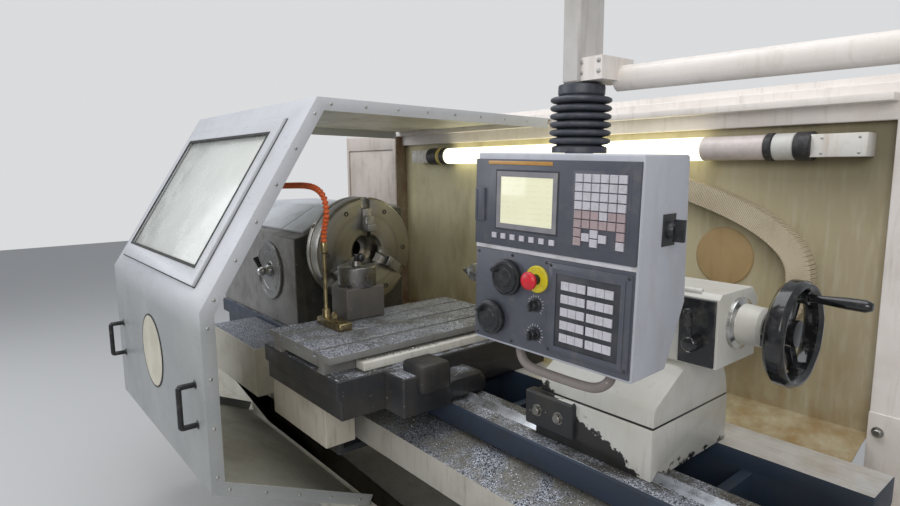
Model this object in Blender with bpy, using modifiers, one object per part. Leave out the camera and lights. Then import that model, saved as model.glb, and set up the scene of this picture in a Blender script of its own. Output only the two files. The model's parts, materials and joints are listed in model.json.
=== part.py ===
"""CNC turning lathe with a flat bed, a sliding sheet guard and a pendant control box.

Metres, +Z up. X runs along the bed from the headstock (-X) to the tailstock (+X), and Y from the
operator's side to the back. The spindle axis has Y = 0, and the floor has Z = 0.
"""

import math

import bmesh
import bpy
from mathutils import Matrix, Vector

# Clearances
GAP = 0.0003
PLAY = 0.003

# Base, bed and spindle line
BASE_LEFT, BASE_RIGHT = -1.66, 1.95
BASE_FRONT, BASE_BACK = -0.38, 0.74
BASE_HEIGHT = 0.46
PEDESTAL_LEFT_LENGTH = 0.92
PEDESTAL_RIGHT_LENGTH = 1.02
TRAY_FLOOR = 0.10
TRAY_LIP_HEIGHT = 0.24
TRAY_BACK = 0.60
BASE_WALL = 0.03
TOE_DEPTH, TOE_HEIGHT = 0.05, 0.07
RAIL_HEIGHT, RAIL_REACH = 0.028, 0.05
BED_LEFT, BED_LENGTH = -1.60, 3.18
BED_FRONT, BED_WIDTH = -0.285, 0.54
BED_HEIGHT = 0.275
WAY_WIDTH = 0.155
WAY_THICKNESS = 0.07
WAY_OVERHANG = 0.03
VEE_HEIGHT = 0.018
VEE_HALF_WIDTH = 0.024
VEE_INSET = 0.085
RIB_COUNT = 9
RIB_THICKNESS = 0.03
CENTRE_HEIGHT = 0.375

# Headstock, spindle and chuck
HEAD_LENGTH = 0.965
HEAD_FRONT, HEAD_BACK = -0.27, 0.34
HEAD_FACE_HEIGHT = 0.435
HEAD_HEIGHT = 0.555
HEAD_LID_THICKNESS = 0.012
HEAD_LID_PANEL = 0.24
SPINDLE_RADIUS = 0.075
SPINDLE_BORE_RADIUS = 0.042
SPINDLE_FLANGE_RADIUS = 0.125
SPINDLE_FLANGE_LENGTH = 0.07
CHUCK_RADIUS = 0.25
CHUCK_LENGTH = 0.125
CHUCK_BORE_RADIUS = 0.07
JAW_COUNT = 3
JAW_WIDTH = 0.045
JAW_LENGTH = 0.105
JAW_HEIGHT = 0.055
JAW_INNER_RADIUS = 0.095
DIAL_RADIUS = 0.145
DIAL_OFFSET = 0.276
DIAL_DROP = 0.12

# Carriage
SADDLE_LEFT, SADDLE_LENGTH = -0.10, 0.53
SADDLE_FRONT, SADDLE_BACK = -0.65, 0.30
SADDLE_HEIGHT = 0.135
SADDLE_BAND = 0.06
SADDLE_STEP = 0.012
WING_RISE = 0.008
WIPER_LENGTH = 0.085
SHOE_LENGTH = 0.105
SHOE_FRONT, SHOE_BACK = -0.484, -0.298
SHOE_CAP_LENGTH, SHOE_CAP_RISE = 0.11, 0.034
TABLE_LEFT, TABLE_WIDTH = -0.046, 0.436
TABLE_FRONT, TABLE_LENGTH = -0.65, 0.80
TABLE_THICKNESS = 0.022
DOVETAIL_WIDTH = 0.26
DOVETAIL_HEIGHT = 0.022
TONGUE_MARGIN = 0.05
TONGUE_HEIGHT = 0.042
SLIDE_COVER_WIDTH, SLIDE_COVER_HEIGHT = 0.05, 0.03
SLIDE_COVER_FRONT = -0.54
SLOT_COUNT = 3
SLOT_PITCH = 0.12
SLOT_MOUTH, SLOT_ROOT = 0.007, 0.013
SLOT_DEPTH = 0.018
APRON_FRONT = -0.62
APRON_LEFT, APRON_LENGTH = -0.11, 0.40
APRON_BOTTOM = 0.60
NUT_ARM_FRONT, NUT_ARM_BOTTOM = -0.50, 0.485
NUT_ARM_THICKNESS = 0.022
NUT_ARM_WIDTH = 0.14
NUT_HALF = 0.040
SCREW_RADIUS = 0.02
SCREW_Y = -0.348
SCREW_DROP = 0.16
COVER_FOLD_Y, COVER_FOLD_Z, COVER_EDGE_Z = -0.42, 0.625, 0.525
FEED_BOX_RIGHT, FEED_BOX_LENGTH = -0.53, 0.57
FEED_BOX_FRONT = -0.52
FEED_BOX_TOP, FEED_BOX_HEIGHT = 0.718, 0.218

# Tool post
POST_X, POST_Y = -0.005, -0.31
POST_LENGTH, POST_WIDTH = 0.115, 0.165
POST_HEIGHT = 0.118
TOOL_SIDE = 0.025
TOOL_LENGTH = 0.11
DRUM_RADIUS = 0.0735
DRUM_HEIGHT = 0.075

# Coolant
COOLANT_X, COOLANT_Y = 0.03, -0.465
COOLANT_PIPE_RADIUS = 0.007
COOLANT_PIPE_TOP = 0.30
HOSE_RADIUS = 0.0115
HOSE_BEADS = 22
HOSE_RINGS = 3

# Tailstock
TAIL_LEFT, TAIL_RIGHT = 0.84, 1.21
TAIL_FRONT, TAIL_BACK = -0.235, 0.14
TAIL_SPLIT_HEIGHT = 0.135
TAIL_SHOULDER = 0.052
NECK_HALF_WIDTH = 0.085
BARREL_LEFT, BARREL_RIGHT = 0.60, 1.29
BARREL_HALF_WIDTH = 0.10
BARREL_DROP, BARREL_RISE = 0.10, 0.082
QUILL_RADIUS = 0.045
QUILL_REACH = 0.19
QUILL_LENGTH = 0.52
CLAMP_PLATE_LENGTH = 0.093
CLAMP_LEVER_X, CLAMP_LEVER_DROP = 1.242, 0.038
CENTRE_RADIUS = 0.034
CENTRE_LENGTH = 0.10
POINT_LENGTH = 0.065
FLANGE_RADIUS = 0.065
FLANGE_LENGTH = 0.07
FLANGE_PLATE = 0.014
WHEEL_RADIUS = 0.126
WHEEL_X = 1.42
WHEEL_DEPTH = 0.045
WHEEL_SPOKES = 3
GRIP_RADIUS = 0.011
GRIP_LENGTH = 0.125

# Rear frame, wall and cabinet
REAR_Y = 0.63
REAR_RIGHT = 1.50
BEAM_TOP, BEAM_HEIGHT = 1.73, 0.108
BEAM_BOTTOM = BEAM_TOP - BEAM_HEIGHT
BEAM_LIP_HEIGHT, BEAM_LIP_DEPTH = 0.026, 0.03
FRAME_SECTION = 0.08
ROOF_RAIL_HEIGHT, ROOF_RAIL_REACH = 0.022, 0.055
WALL_Y = 0.66
SHEET = 0.004
LEDGE_Z = 0.665
CABINET_LEFT, CABINET_RIGHT = -1.60, -1.03
CABINET_FRONT = 0.58
CABINET_TOP = BEAM_TOP - 0.04
CABINET_BAND = 0.09
PORT_X, PORT_Z, PORT_RADIUS = 0.93, 1.17, 0.105
LAMP_LEFT, LAMP_RIGHT = -0.72, 1.215
LAMP_Z = BEAM_BOTTOM - 0.069
LAMP_RADIUS, LAMP_CAP_RADIUS = 0.042, 0.046
LAMP_CAP_LEFT, LAMP_CAP_RIGHT = 0.10, 0.132
LAMP_BLOCK_LENGTH, LAMP_BLOCK_HEIGHT = 0.15, 0.07
CHAIN_WIDTH, CHAIN_THICKNESS = 0.055, 0.075
CHAIN_LINKS = 38

# Guard
GUARD_LEFT, GUARD_RIGHT = -0.98, 0.18
GUARD_FRONT = -0.95
GUARD_KNEE_Z, GUARD_SILL_Z = 1.084, 0.518
GUARD_ROOF_BACK, GUARD_ROOF_Z = 0.60, BEAM_TOP - 0.03
GUARD_TOP_Y, GUARD_TOP_Z = -0.547, GUARD_ROOF_Z + 0.022
GUARD_SLOPE_LENGTH = math.hypot(GUARD_TOP_Y - GUARD_FRONT, GUARD_TOP_Z - GUARD_KNEE_Z)
GUARD_PAN_Y, GUARD_PAN_Z = -0.40, 0.268
GUARD_SHEET = 0.004
GUARD_FLANGE = 0.042
FLANGE_BACK = 0.55
GUARD_PLATE_X, GUARD_PLATE_Z, GUARD_PLATE_RADIUS = -0.41, 0.833, 0.137
WINDOW_LEFT_MARGIN, WINDOW_RIGHT_MARGIN = 0.055, 0.135
WINDOW_LOW, WINDOW_TOP_MARGIN = 0.06, 0.0776
WINDOW_HEIGHT = GUARD_SLOPE_LENGTH - WINDOW_LOW - WINDOW_TOP_MARGIN
WINDOW_BAR = 0.057
WINDOW_PROUD = 0.012
PANE_THICKNESS = 0.0034
HANDLE_LENGTH = 0.13
HANDLE_REACH = 0.05
HANDLE_RADIUS = 0.009
HANDLE_LOW = 0.195
HANDLE_INSET = 0.09

# Pendant and its arm
PENDANT_X, PENDANT_Y = 0.893, -0.5059
PENDANT_TOP = 1.531
PENDANT_WIDTH, PENDANT_HEIGHT, PENDANT_DEPTH = 0.43, 0.446, 0.178
PENDANT_BELLY, PENDANT_BELLY_Z = 0.022, -0.31
PENDANT_YAW = math.radians(2.98)
PENDANT_ROLL = math.radians(1.6)
UNIT_HEIGHT = 0.197
UNIT_PROUD = 0.008
KEY_PROUD = 0.004
PANEL_THICKNESS = 0.004
STOP_TRAVEL = 0.006
MAST_X, MAST_Y = 1.105, -0.395
MAST_WIDTH, MAST_DEPTH = 0.045, 0.085
HUB_X, HUB_Y, HUB_HEIGHT = 0.212, 0.0995, 0.146
HUB_RADIUS = 0.03
ARM_Z = PENDANT_TOP + HUB_HEIGHT + 0.004
MAST_TOP = ARM_Z + 0.269
ARM_RADIUS = 0.0265
ARM_START_X, ARM_START_Y = 0.06, 0.043
COLUMN_X, COLUMN_Y = BASE_RIGHT - 0.097, -0.268
COLUMN_RADIUS = 0.05
COLUMN_FOOT = 0.045
BELLOWS_RADIUS = 0.066
BELLOWS_FOLDS = 6

# Places that follow from the sizes above
BED_BOTTOM = BASE_HEIGHT + GAP
BED_TOP = BED_BOTTOM + BED_HEIGHT
BED_RIGHT = BED_LEFT + BED_LENGTH
BED_BACK = BED_FRONT + BED_WIDTH
AXIS_Z = BED_TOP + CENTRE_HEIGHT
SCREW_Z = BED_TOP - SCREW_DROP
HEAD_LEFT = BED_LEFT
HEAD_RIGHT = HEAD_LEFT + HEAD_LENGTH
CHUCK_BACK = HEAD_RIGHT + PLAY + SPINDLE_FLANGE_LENGTH
CHUCK_FACE = CHUCK_BACK + CHUCK_LENGTH
SADDLE_TOP = BED_TOP + GAP + SADDLE_HEIGHT
TABLE_TOP = SADDLE_TOP + TONGUE_HEIGHT + TABLE_THICKNESS
WING_BOTTOM = BED_TOP + GAP + WING_RISE
TAIL_SPLIT = BED_TOP + GAP + TAIL_SPLIT_HEIGHT
QUILL_FACE = BARREL_LEFT - QUILL_REACH

COLLECTION = bpy.data.collections.new("cnc_turning_lathe")
CUTTERS = bpy.data.collections.new("cutters")
PAINTS = {}


def clear_scene():
    for item in list(bpy.data.objects):
        bpy.data.objects.remove(item, do_unlink=True)
    bpy.context.scene.collection.children.link(COLLECTION)
    bpy.context.scene.collection.children.link(CUTTERS)


def paint(name, colour, roughness=0.5, metallic=0.0):
    """A Principled material, made once for each finish."""
    if name not in PAINTS:
        material = bpy.data.materials.new(name)
        material.use_nodes = True
        shader = material.node_tree.nodes["Principled BSDF"]
        shader.inputs["Base Color"].default_value = (*colour, 1.0)
        shader.inputs["Roughness"].default_value = roughness
        shader.inputs["Metallic"].default_value = metallic
        material.diffuse_color = (*colour, 1.0)
        PAINTS[name] = material
    return PAINTS[name]


def place(name, shape, material, origin=(0, 0, 0), parent=None):
    """Turns a bmesh, given in world or parent space, into an object with its origin on its joint or seat."""
    bmesh.ops.translate(shape, verts=shape.verts, vec=-Vector(origin))
    bmesh.ops.recalc_face_normals(shape, faces=shape.faces)
    mesh = bpy.data.meshes.new(name)
    shape.to_mesh(mesh)
    shape.free()
    item = bpy.data.objects.new(name, mesh)
    item.location = origin
    item.parent = parent
    if material is None:
        CUTTERS.objects.link(item)
        item.hide_render = True
        item.display_type = "WIRE"
    else:
        COLLECTION.objects.link(item)
        mesh.materials.append(material)
    return item


def box_shape(low, high):
    shape = bmesh.new()
    low, high = Vector(low), Vector(high)
    size = Matrix.Diagonal((*(high - low), 1.0))
    bmesh.ops.create_cube(shape, size=1.0, matrix=Matrix.Translation((low + high) / 2) @ size)
    return shape


def box(name, low, high, material, parent=None, edge=0.0):
    middle = (Vector(low) + Vector(high)) / 2
    item = place(name, box_shape(low, high), material, middle, parent)
    return rounded(item, edge) if edge else item


def rounded(item, width, segments=1, angle=40):
    bevel = item.modifiers.new("edges", "BEVEL")
    bevel.width = width
    bevel.segments = segments
    bevel.limit_method = "ANGLE"
    bevel.angle_limit = math.radians(angle)
    return item


def prism_shape(outline, start, end, axis="X"):
    """A flat outline drawn out along an axis. Outline points are (Y, Z) for X, (X, Z) for Y, (X, Y) for Z."""
    shape = bmesh.new()
    points = []
    for a, b in outline:
        if axis == "X":
            points.append((start, a, b))
        elif axis == "Y":
            points.append((a, start, b))
        else:
            points.append((a, b, start))
    face = shape.faces.new([shape.verts.new(p) for p in points])
    made = bmesh.ops.extrude_face_region(shape, geom=[face])
    step = {"X": (end - start, 0, 0), "Y": (0, end - start, 0), "Z": (0, 0, end - start)}[axis]
    moved = [v for v in made["geom"] if isinstance(v, bmesh.types.BMVert)]
    bmesh.ops.translate(shape, verts=moved, vec=step)
    return shape


def prism(name, outline, start, end, material, axis="X", parent=None):
    return place(name, prism_shape(outline, start, end, axis), material, (0, 0, 0), parent)


def cylinder_shape(radius, start, end, sides=32, top_radius=None):
    """A cylinder or cone from one point to another."""
    shape = bmesh.new()
    start, end = Vector(start), Vector(end)
    turn = (end - start).to_track_quat("Z", "Y").to_matrix().to_4x4()
    bmesh.ops.create_cone(
        shape,
        cap_ends=True,
        segments=sides,
        radius1=radius,
        radius2=radius if top_radius is None else top_radius,
        depth=(end - start).length,
        matrix=Matrix.Translation((start + end) / 2) @ turn,
    )
    return shape


def cylinder(name, radius, start, end, material, sides=32, parent=None, top_radius=None):
    shape = cylinder_shape(radius, start, end, sides, top_radius)
    return place(name, shape, material, start, parent)


def turned(name, profile, origin, direction, material, steps=32, parent=None):
    """A turned piece. The profile is (radius, distance along the axis), from its far end to its near end."""
    shape = bmesh.new()
    points = [shape.verts.new((radius, 0, along)) for radius, along in profile]
    for first, second in zip(points, points[1:]):
        shape.edges.new((first, second))
    mesh = bpy.data.meshes.new(name)
    shape.to_mesh(mesh)
    shape.free()
    item = bpy.data.objects.new(name, mesh)
    screw = item.modifiers.new("turn", "SCREW")
    screw.axis = "Z"
    screw.steps = screw.render_steps = steps
    screw.use_merge_vertices = True
    screw.merge_threshold = 0.00005
    screw.use_smooth_shade = True
    item.location = origin
    item.rotation_mode = "QUATERNION"
    item.rotation_quaternion = Vector(direction).to_track_quat("Z", "Y")
    item.parent = parent
    if material is None:
        CUTTERS.objects.link(item)
        item.hide_render = True
        item.display_type = "WIRE"
    else:
        COLLECTION.objects.link(item)
        mesh.materials.append(material)
    return item


def tube(name, points, radius, material, origin=None, parent=None, closed=False, sides=2):
    """A round bar bent through the points, made a mesh so that it can be cut and joined."""
    origin = Vector(points[0]) if origin is None else Vector(origin)
    curve = bpy.data.curves.new(name, "CURVE")
    curve.dimensions = "3D"
    curve.bevel_depth = radius
    curve.bevel_resolution = sides
    curve.use_fill_caps = True
    spline = curve.splines.new("POLY")
    spline.points.add(len(points) - 1)
    for point, place_at in zip(spline.points, points):
        point.co = (*(Vector(place_at) - origin), 1.0)
    spline.use_cyclic_u = closed
    guide = bpy.data.objects.new(name + "_guide", curve)
    COLLECTION.objects.link(guide)
    bpy.context.view_layer.update()
    mesh = bpy.data.meshes.new_from_object(guide.evaluated_get(bpy.context.evaluated_depsgraph_get()))
    bpy.data.objects.remove(guide, do_unlink=True)
    shape = bmesh.new()
    shape.from_mesh(mesh)
    bpy.data.meshes.remove(mesh)
    bmesh.ops.remove_doubles(shape, verts=shape.verts, dist=0.00001)
    bmesh.ops.translate(shape, verts=shape.verts, vec=origin)
    return place(name, shape, material, origin, parent)


def boolean(item, tool, operation, name):
    change = item.modifiers.new(name, "BOOLEAN")
    change.operation = operation
    change.object = tool
    change.solver = "EXACT"
    return item


def cut(item, tool):
    return boolean(item, tool, "DIFFERENCE", "cut_" + tool.name)


def join(item, tool):
    return boolean(item, tool, "UNION", "join_" + tool.name)


# Finishes
CREAM = paint("cream_paint", (0.62, 0.58, 0.50), 0.45)
FRAME_PAINT = paint("frame_paint", (0.66, 0.60, 0.55), 0.5)
WALL_PAINT = paint("wall_paint", (0.46, 0.42, 0.30), 0.6)
GUARD_PAINT = paint("guard_paint", (0.60, 0.62, 0.66), 0.4)
MACHINE_GREY = paint("machine_grey", (0.22, 0.22, 0.22), 0.5)
DARK_IRON = paint("dark_iron", (0.05, 0.05, 0.055), 0.5, 0.4)
BARE_STEEL = paint("bare_steel", (0.55, 0.55, 0.54), 0.3, 0.9)
GROUND_IRON = paint("ground_iron", (0.30, 0.30, 0.30), 0.35, 0.8)
BLACK_GLOSS = paint("black_gloss", (0.01, 0.01, 0.012), 0.15)
BLACK_RUBBER = paint("black_rubber", (0.03, 0.03, 0.035), 0.7)
PENDANT_GREY = paint("pendant_grey", (0.45, 0.46, 0.48), 0.45)
CONTROL_DARK = paint("control_dark", (0.04, 0.045, 0.06), 0.5)
SCREEN_GLASS = paint("screen_glass", (0.62, 0.66, 0.50), 0.2)
RED_PLASTIC = paint("red_plastic", (0.55, 0.02, 0.02), 0.35)
ORANGE_PLASTIC = paint("orange_plastic", (0.75, 0.13, 0.04), 0.45)
BRASS = paint("brass", (0.60, 0.42, 0.15), 0.35, 0.9)
LAMP_WHITE = paint("lamp_white", (0.85, 0.85, 0.80), 0.3)
GLASS = paint("window_glass", (0.62, 0.66, 0.66), 0.1)


def make_base():
    """Welded base: two pedestals, a chip tray between them, and the rail that the guard's pan slides on."""
    item = box("base", (BASE_LEFT, BASE_FRONT, 0), (BASE_RIGHT, BASE_BACK, BASE_HEIGHT), CREAM, edge=0.006)
    left = BASE_LEFT + PEDESTAL_LEFT_LENGTH
    right = BASE_RIGHT - PEDESTAL_RIGHT_LENGTH
    wall = BASE_WALL
    cut(item, box("tray_cutter", (left, BASE_FRONT + wall, TRAY_FLOOR), (right, TRAY_BACK, 1.0), None))
    cut(
        item,
        box(
            "mouth_cutter",
            (left, -1.0, TRAY_LIP_HEIGHT + RAIL_HEIGHT),
            (right, BASE_FRONT + 2 * wall, 1.0),
            None,
        ),
    )
    for name, low, high in (
        ("toe_front", -1.0, BASE_FRONT + TOE_DEPTH), ("toe_back", BASE_BACK - TOE_DEPTH, 1.0)
    ):
        kick = box(
            name + "_cutter", (BASE_LEFT + 0.12, low, -0.1), (BASE_RIGHT - 0.12, high, TOE_HEIGHT), None
        )
        cut(item, kick)
    inside_front, inside_back = BASE_FRONT + TOE_DEPTH + wall, BASE_BACK - TOE_DEPTH - wall
    for name, low, high in (
        ("left_room", BASE_LEFT + wall, left - wall), ("right_room", right + wall, BASE_RIGHT - wall)
    ):
        room = box(
            name + "_cutter", (low, inside_front, -0.1), (high, inside_back, BASE_HEIGHT - wall), None
        )
        cut(item, room)
    rail_top = GUARD_PAN_Z - GAP
    low = (BASE_LEFT + 0.02, BASE_FRONT - RAIL_REACH, rail_top - RAIL_HEIGHT)
    return join(item, box("pan_rail", low, (BASE_RIGHT - 0.02, BASE_FRONT + 0.01, rail_top), None))


def way_section():
    """The bed's end view: overhanging ways, the front one with a vee, on two walls and a floor."""
    wall_front = BED_FRONT + WAY_OVERHANG
    wall_back = BED_BACK - WAY_OVERHANG
    under = BED_TOP - WAY_THICKNESS
    vee = BED_FRONT + VEE_INSET
    flat = 0.003
    return [
        (wall_front, BED_BOTTOM),
        (wall_front, under - WAY_OVERHANG / 2),
        (BED_FRONT, under),
        (BED_FRONT, BED_TOP - 0.006),
        (BED_FRONT + 0.006, BED_TOP),
        (vee - VEE_HALF_WIDTH, BED_TOP),
        (vee - flat, BED_TOP + VEE_HEIGHT),
        (vee + flat, BED_TOP + VEE_HEIGHT),
        (vee + VEE_HALF_WIDTH, BED_TOP),
        (BED_BACK - 0.006, BED_TOP),
        (BED_BACK, BED_TOP - 0.006),
        (BED_BACK, under),
        (wall_back, under - WAY_OVERHANG / 2),
        (wall_back, BED_BOTTOM),
    ]


def make_bed():
    """Grey iron bed. Chips fall between the ways, through the windows that its ribs leave."""
    item = prism("bed", way_section(), BED_LEFT, BED_RIGHT, GROUND_IRON)
    front, back = BED_FRONT + WAY_WIDTH, BED_BACK - WAY_WIDTH
    first = HEAD_RIGHT + 0.02
    pitch = (BED_RIGHT - RIB_THICKNESS - first) / RIB_COUNT
    for k in range(RIB_COUNT):
        low = first + k * pitch
        window = box(f"bed_window_{k}", (low, front, 0.3), (low + pitch - RIB_THICKNESS, back, 1.0), None)
        cut(item, window)
    trough = box("bed_trough", (first, front, BED_TOP - 0.05), (BED_RIGHT + 0.1, back, 1.0), None)
    return cut(item, trough)


def vee_groove(name, start, end):
    """Cutter that lets a casting straddle the front way's vee."""
    vee = BED_FRONT + VEE_INSET
    rise = VEE_HEIGHT + GAP
    half = VEE_HALF_WIDTH + 2 * GAP
    outline = [
        (vee - half, BED_TOP - 0.01),
        (vee - half, BED_TOP + GAP),
        (vee - 0.003 - GAP, BED_TOP + rise),
        (vee + 0.003 + GAP, BED_TOP + rise),
        (vee + half, BED_TOP + GAP),
        (vee + half, BED_TOP - 0.01),
    ]
    return prism(name, outline, start, end, None)


def make_covers():
    """Bent covers along the bed's front: a high box at the left and the long screw cover at the right."""
    top = BED_TOP - WAY_THICKNESS - 0.02
    back = BED_FRONT + WAY_OVERHANG - GAP
    inner = COVER_FOLD_Y + SHEET
    outline = [
        (back, top + 0.003),
        (BED_FRONT - 0.001, top),
        (COVER_FOLD_Y, COVER_FOLD_Z),
        (COVER_FOLD_Y, COVER_EDGE_Z),
        (inner, COVER_EDGE_Z),
        (inner, COVER_FOLD_Z - SHEET),
        (BED_FRONT, top - SHEET),
        (back, top - SHEET),
    ]
    prism("screw_cover", outline, FEED_BOX_RIGHT + GAP, BED_RIGHT, CREAM)
    low = (FEED_BOX_RIGHT - FEED_BOX_LENGTH, FEED_BOX_FRONT, FEED_BOX_TOP - FEED_BOX_HEIGHT)
    high = (FEED_BOX_RIGHT, BED_FRONT - GAP, FEED_BOX_TOP)
    item = box("feed_box_cover", low, high, CREAM, edge=0.004)
    inside_low = (low[0] + SHEET, low[1] + SHEET, low[2] - 0.1)
    inside_high = (high[0] - SHEET, 0, high[2] - SHEET)
    cut(item, box("feed_box_inside", inside_low, inside_high, None))
    hole_end = FEED_BOX_RIGHT + 0.1
    hole = cylinder(
        "feed_box_hole", SCREW_RADIUS + PLAY, (
            hole_end - 0.3, SCREW_Y, SCREW_Z
        ), (hole_end, SCREW_Y, SCREW_Z), None, 24
    )
    cut(item, hole)


def make_ball_screw(bed):
    """Ball screw along the bed's front, its bearing bracket on the bed and the servo motor at its end."""
    left, right = FEED_BOX_RIGHT - 0.30, BED_RIGHT + 0.02
    neck = SCREW_RADIUS * 0.7
    turned(
        "ball_screw",
        [
            (0, right - left),
            (neck, right - left),
            (neck, right - left - 0.10),
            (SCREW_RADIUS, right - left - 0.10),
        ]
        + [(SCREW_RADIUS, 0.08), (neck, 0.08), (neck, 0), (0, 0)],
        (left, SCREW_Y, SCREW_Z),
        (1, 0, 0),
        BARE_STEEL,
        20,
    )
    wall = BED_FRONT + WAY_OVERHANG
    half = SCREW_RADIUS + 0.025
    bearing_low = (left + 0.02, SCREW_Y - half, SCREW_Z - half)
    join(bed, box("screw_bearing", bearing_low, (left + 0.07, wall + 0.01, SCREW_Z + half), None))
    bore = ((left - 0.1, SCREW_Y, SCREW_Z), (left + 0.2, SCREW_Y, SCREW_Z))
    cut(bed, cylinder("screw_bearing_bore", neck + GAP, *bore, None, 20))

    start, end = right - 0.08, right - 0.01
    motor = box(
        "z_servo_motor",
        (start, SCREW_Y - half, SCREW_Z - half),
        (end, wall - GAP, SCREW_Z + half),
        DARK_IRON,
        edge=0.003,
    )
    size = half + 0.015
    body = box(
        "motor_body",
        (end - 0.01, SCREW_Y - size, SCREW_Z - size),
        (end + 0.16, SCREW_Y + size, SCREW_Z + size),
        None,
    )
    join(motor, rounded(body, 0.012))
    socket = ((start - 0.1, SCREW_Y, SCREW_Z), (right + GAP, SCREW_Y, SCREW_Z))
    cut(motor, cylinder("motor_socket", neck + GAP, *socket, None, 20))


def make_headstock():
    """Headstock casting: a flat front, a sloped top with a lid, and the spindle's bearing bore."""
    bottom = BED_TOP + GAP
    face_top = bottom + HEAD_FACE_HEIGHT
    top = bottom + HEAD_HEIGHT
    fold_y = HEAD_FRONT + 0.24
    outline = [
        (HEAD_FRONT, bottom),
        (HEAD_FRONT, face_top),
        (HEAD_FRONT + 0.05, face_top + 0.012),
        (fold_y, top),
        (HEAD_BACK, top),
        (HEAD_BACK, bottom),
    ]
    item = prism("headstock", outline, HEAD_LEFT, HEAD_RIGHT, MACHINE_GREY)
    rounded(item, 0.004)
    cut(item, vee_groove("headstock_groove", HEAD_LEFT - 0.01, HEAD_RIGHT + 0.01))
    bore = SPINDLE_RADIUS + PLAY
    ring = turned(
        "headstock_ring",
        [(0, 0.017), (2 * bore - 0.012, 0.017), (2 * bore, 0.010), (2 * bore, -0.02), (0, -0.02)],
        (HEAD_RIGHT - 0.015, 0, AXIS_Z),
        (1, 0, 0),
        None,
        32,
    )
    join(item, ring)
    cut(
        item,
        cylinder(
            "headstock_bore", bore, (HEAD_LEFT - 0.1, 0, AXIS_Z), (HEAD_RIGHT + 0.1, 0, AXIS_Z), None, 32
        ),
    )
    slope = (HEAD_HEIGHT - HEAD_FACE_HEIGHT - 0.012) / 0.19
    roof = [(HEAD_FRONT + 0.06, face_top + 0.012 + 0.01 * slope), (fold_y, top), (HEAD_BACK - 0.02, top)]
    cover = prism(
        "headstock_lid", band(roof, GAP, HEAD_LID_THICKNESS), HEAD_LEFT + 0.02, HEAD_RIGHT - 0.02, CREAM
    )
    middle = HEAD_RIGHT - HEAD_LID_PANEL
    seam = band(longer(roof, 0.02), HEAD_LID_THICKNESS * 0.6, 0.05)
    cut(cover, prism("lid_seam", seam, middle - 0.004, middle + 0.004, None))


def make_gear_dial():
    """Speed range dial on the headstock's front, with a lever that turns about the dial's middle."""
    x, z = HEAD_RIGHT - DIAL_OFFSET, AXIS_Z - DIAL_DROP
    y = HEAD_FRONT - GAP
    r = DIAL_RADIUS
    rim = [
        (0, 0.008), (r - 0.026, 0.008), (r - 0.022, 0.014), (r - 0.006, 0.014), (r, 0.008), (r, 0), (0, 0)
    ]
    turned("range_dial", rim, (x, y, z), (0, -1, 0), BARE_STEEL, 36)
    face = y - 0.008 - GAP
    hub = [(0, 0.03), (0.018, 0.03), (0.034, 0.012), (0.036, 0), (0, 0)]
    lever = turned("range_lever", hub, (x, face, z), (0, -1, 0), BARE_STEEL, 20)
    centre = Vector((x, face - 0.038, z))
    join(lever, place("range_lever_ball", ball_shape(centre, 0.024), None))
    tip = centre + Vector((-0.03, -0.018, 0.066))
    return join(lever, place("range_lever_grip", cylinder_shape(0.009, centre, tip, 16, 0.014), None))


def ball_shape(centre, radius, rings=8, around=12):
    shape = bmesh.new()
    bmesh.ops.create_uvsphere(
        shape, u_segments=around, v_segments=rings, radius=radius, matrix=Matrix.Translation(centre)
    )
    return shape


def make_spindle():
    """Hollow spindle with its nose flange, and the chuck that is bolted to it."""
    rear = HEAD_LEFT - 0.03
    length = CHUCK_BACK - GAP - rear
    neck = length - SPINDLE_FLANGE_LENGTH
    bore, radius, flange = SPINDLE_BORE_RADIUS, SPINDLE_RADIUS, SPINDLE_FLANGE_RADIUS
    turned(
        "spindle",
        [
            (bore, length),
            (flange, length),
            (flange, neck + 0.006),
            (flange - 0.006, neck),
            (radius, neck),
            (radius, 0),
            (bore, 0),
            (bore, length),
        ],
        (rear, 0, AXIS_Z),
        (1, 0, 0),
        BARE_STEEL,
        32,
    )
    r = CHUCK_RADIUS
    chuck = turned(
        "chuck_body",
        [
            (CHUCK_BORE_RADIUS, CHUCK_LENGTH - 0.012),
            (CHUCK_BORE_RADIUS + 0.012, CHUCK_LENGTH),
            (r - 0.010, CHUCK_LENGTH),
            (r, CHUCK_LENGTH - 0.010),
            (r, 0.056),
            (r - 0.004, 0.052),
            (r - 0.004, 0.044),
            (r, 0.040),
            (r, 0.012),
            (r - 0.012, 0),
            (CHUCK_BORE_RADIUS, 0),
            (CHUCK_BORE_RADIUS, CHUCK_LENGTH - 0.012),
        ],
        (CHUCK_BACK, 0, AXIS_Z),
        (1, 0, 0),
        BARE_STEEL,
        48,
    )
    for k in range(JAW_COUNT):
        turn = Matrix.Translation((0, 0, AXIS_Z)) @ Matrix.Rotation(math.tau * k / JAW_COUNT, 4, "X")
        groove = box_shape(
            (CHUCK_FACE - 0.030, -JAW_WIDTH / 2 - GAP, CHUCK_BORE_RADIUS - 0.02),
            (CHUCK_FACE + 0.05, JAW_WIDTH / 2 + GAP, CHUCK_RADIUS + 0.05),
        )
        bmesh.ops.transform(groove, matrix=turn, verts=groove.verts)
        cut(chuck, place(f"chuck_groove_{k}", groove, None))
        socket = cylinder_shape(
            0.011,
            (CHUCK_BACK + 0.024, 0, CHUCK_RADIUS - 0.03),
            (CHUCK_BACK + 0.024, 0, CHUCK_RADIUS + 0.03),
            12,
        )
        bmesh.ops.transform(socket, matrix=turn @ Matrix.Rotation(math.pi / 3, 4, "X"), verts=socket.verts)
        cut(chuck, place(f"chuck_key_hole_{k}", socket, None))
        make_jaw(k, turn)


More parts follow.
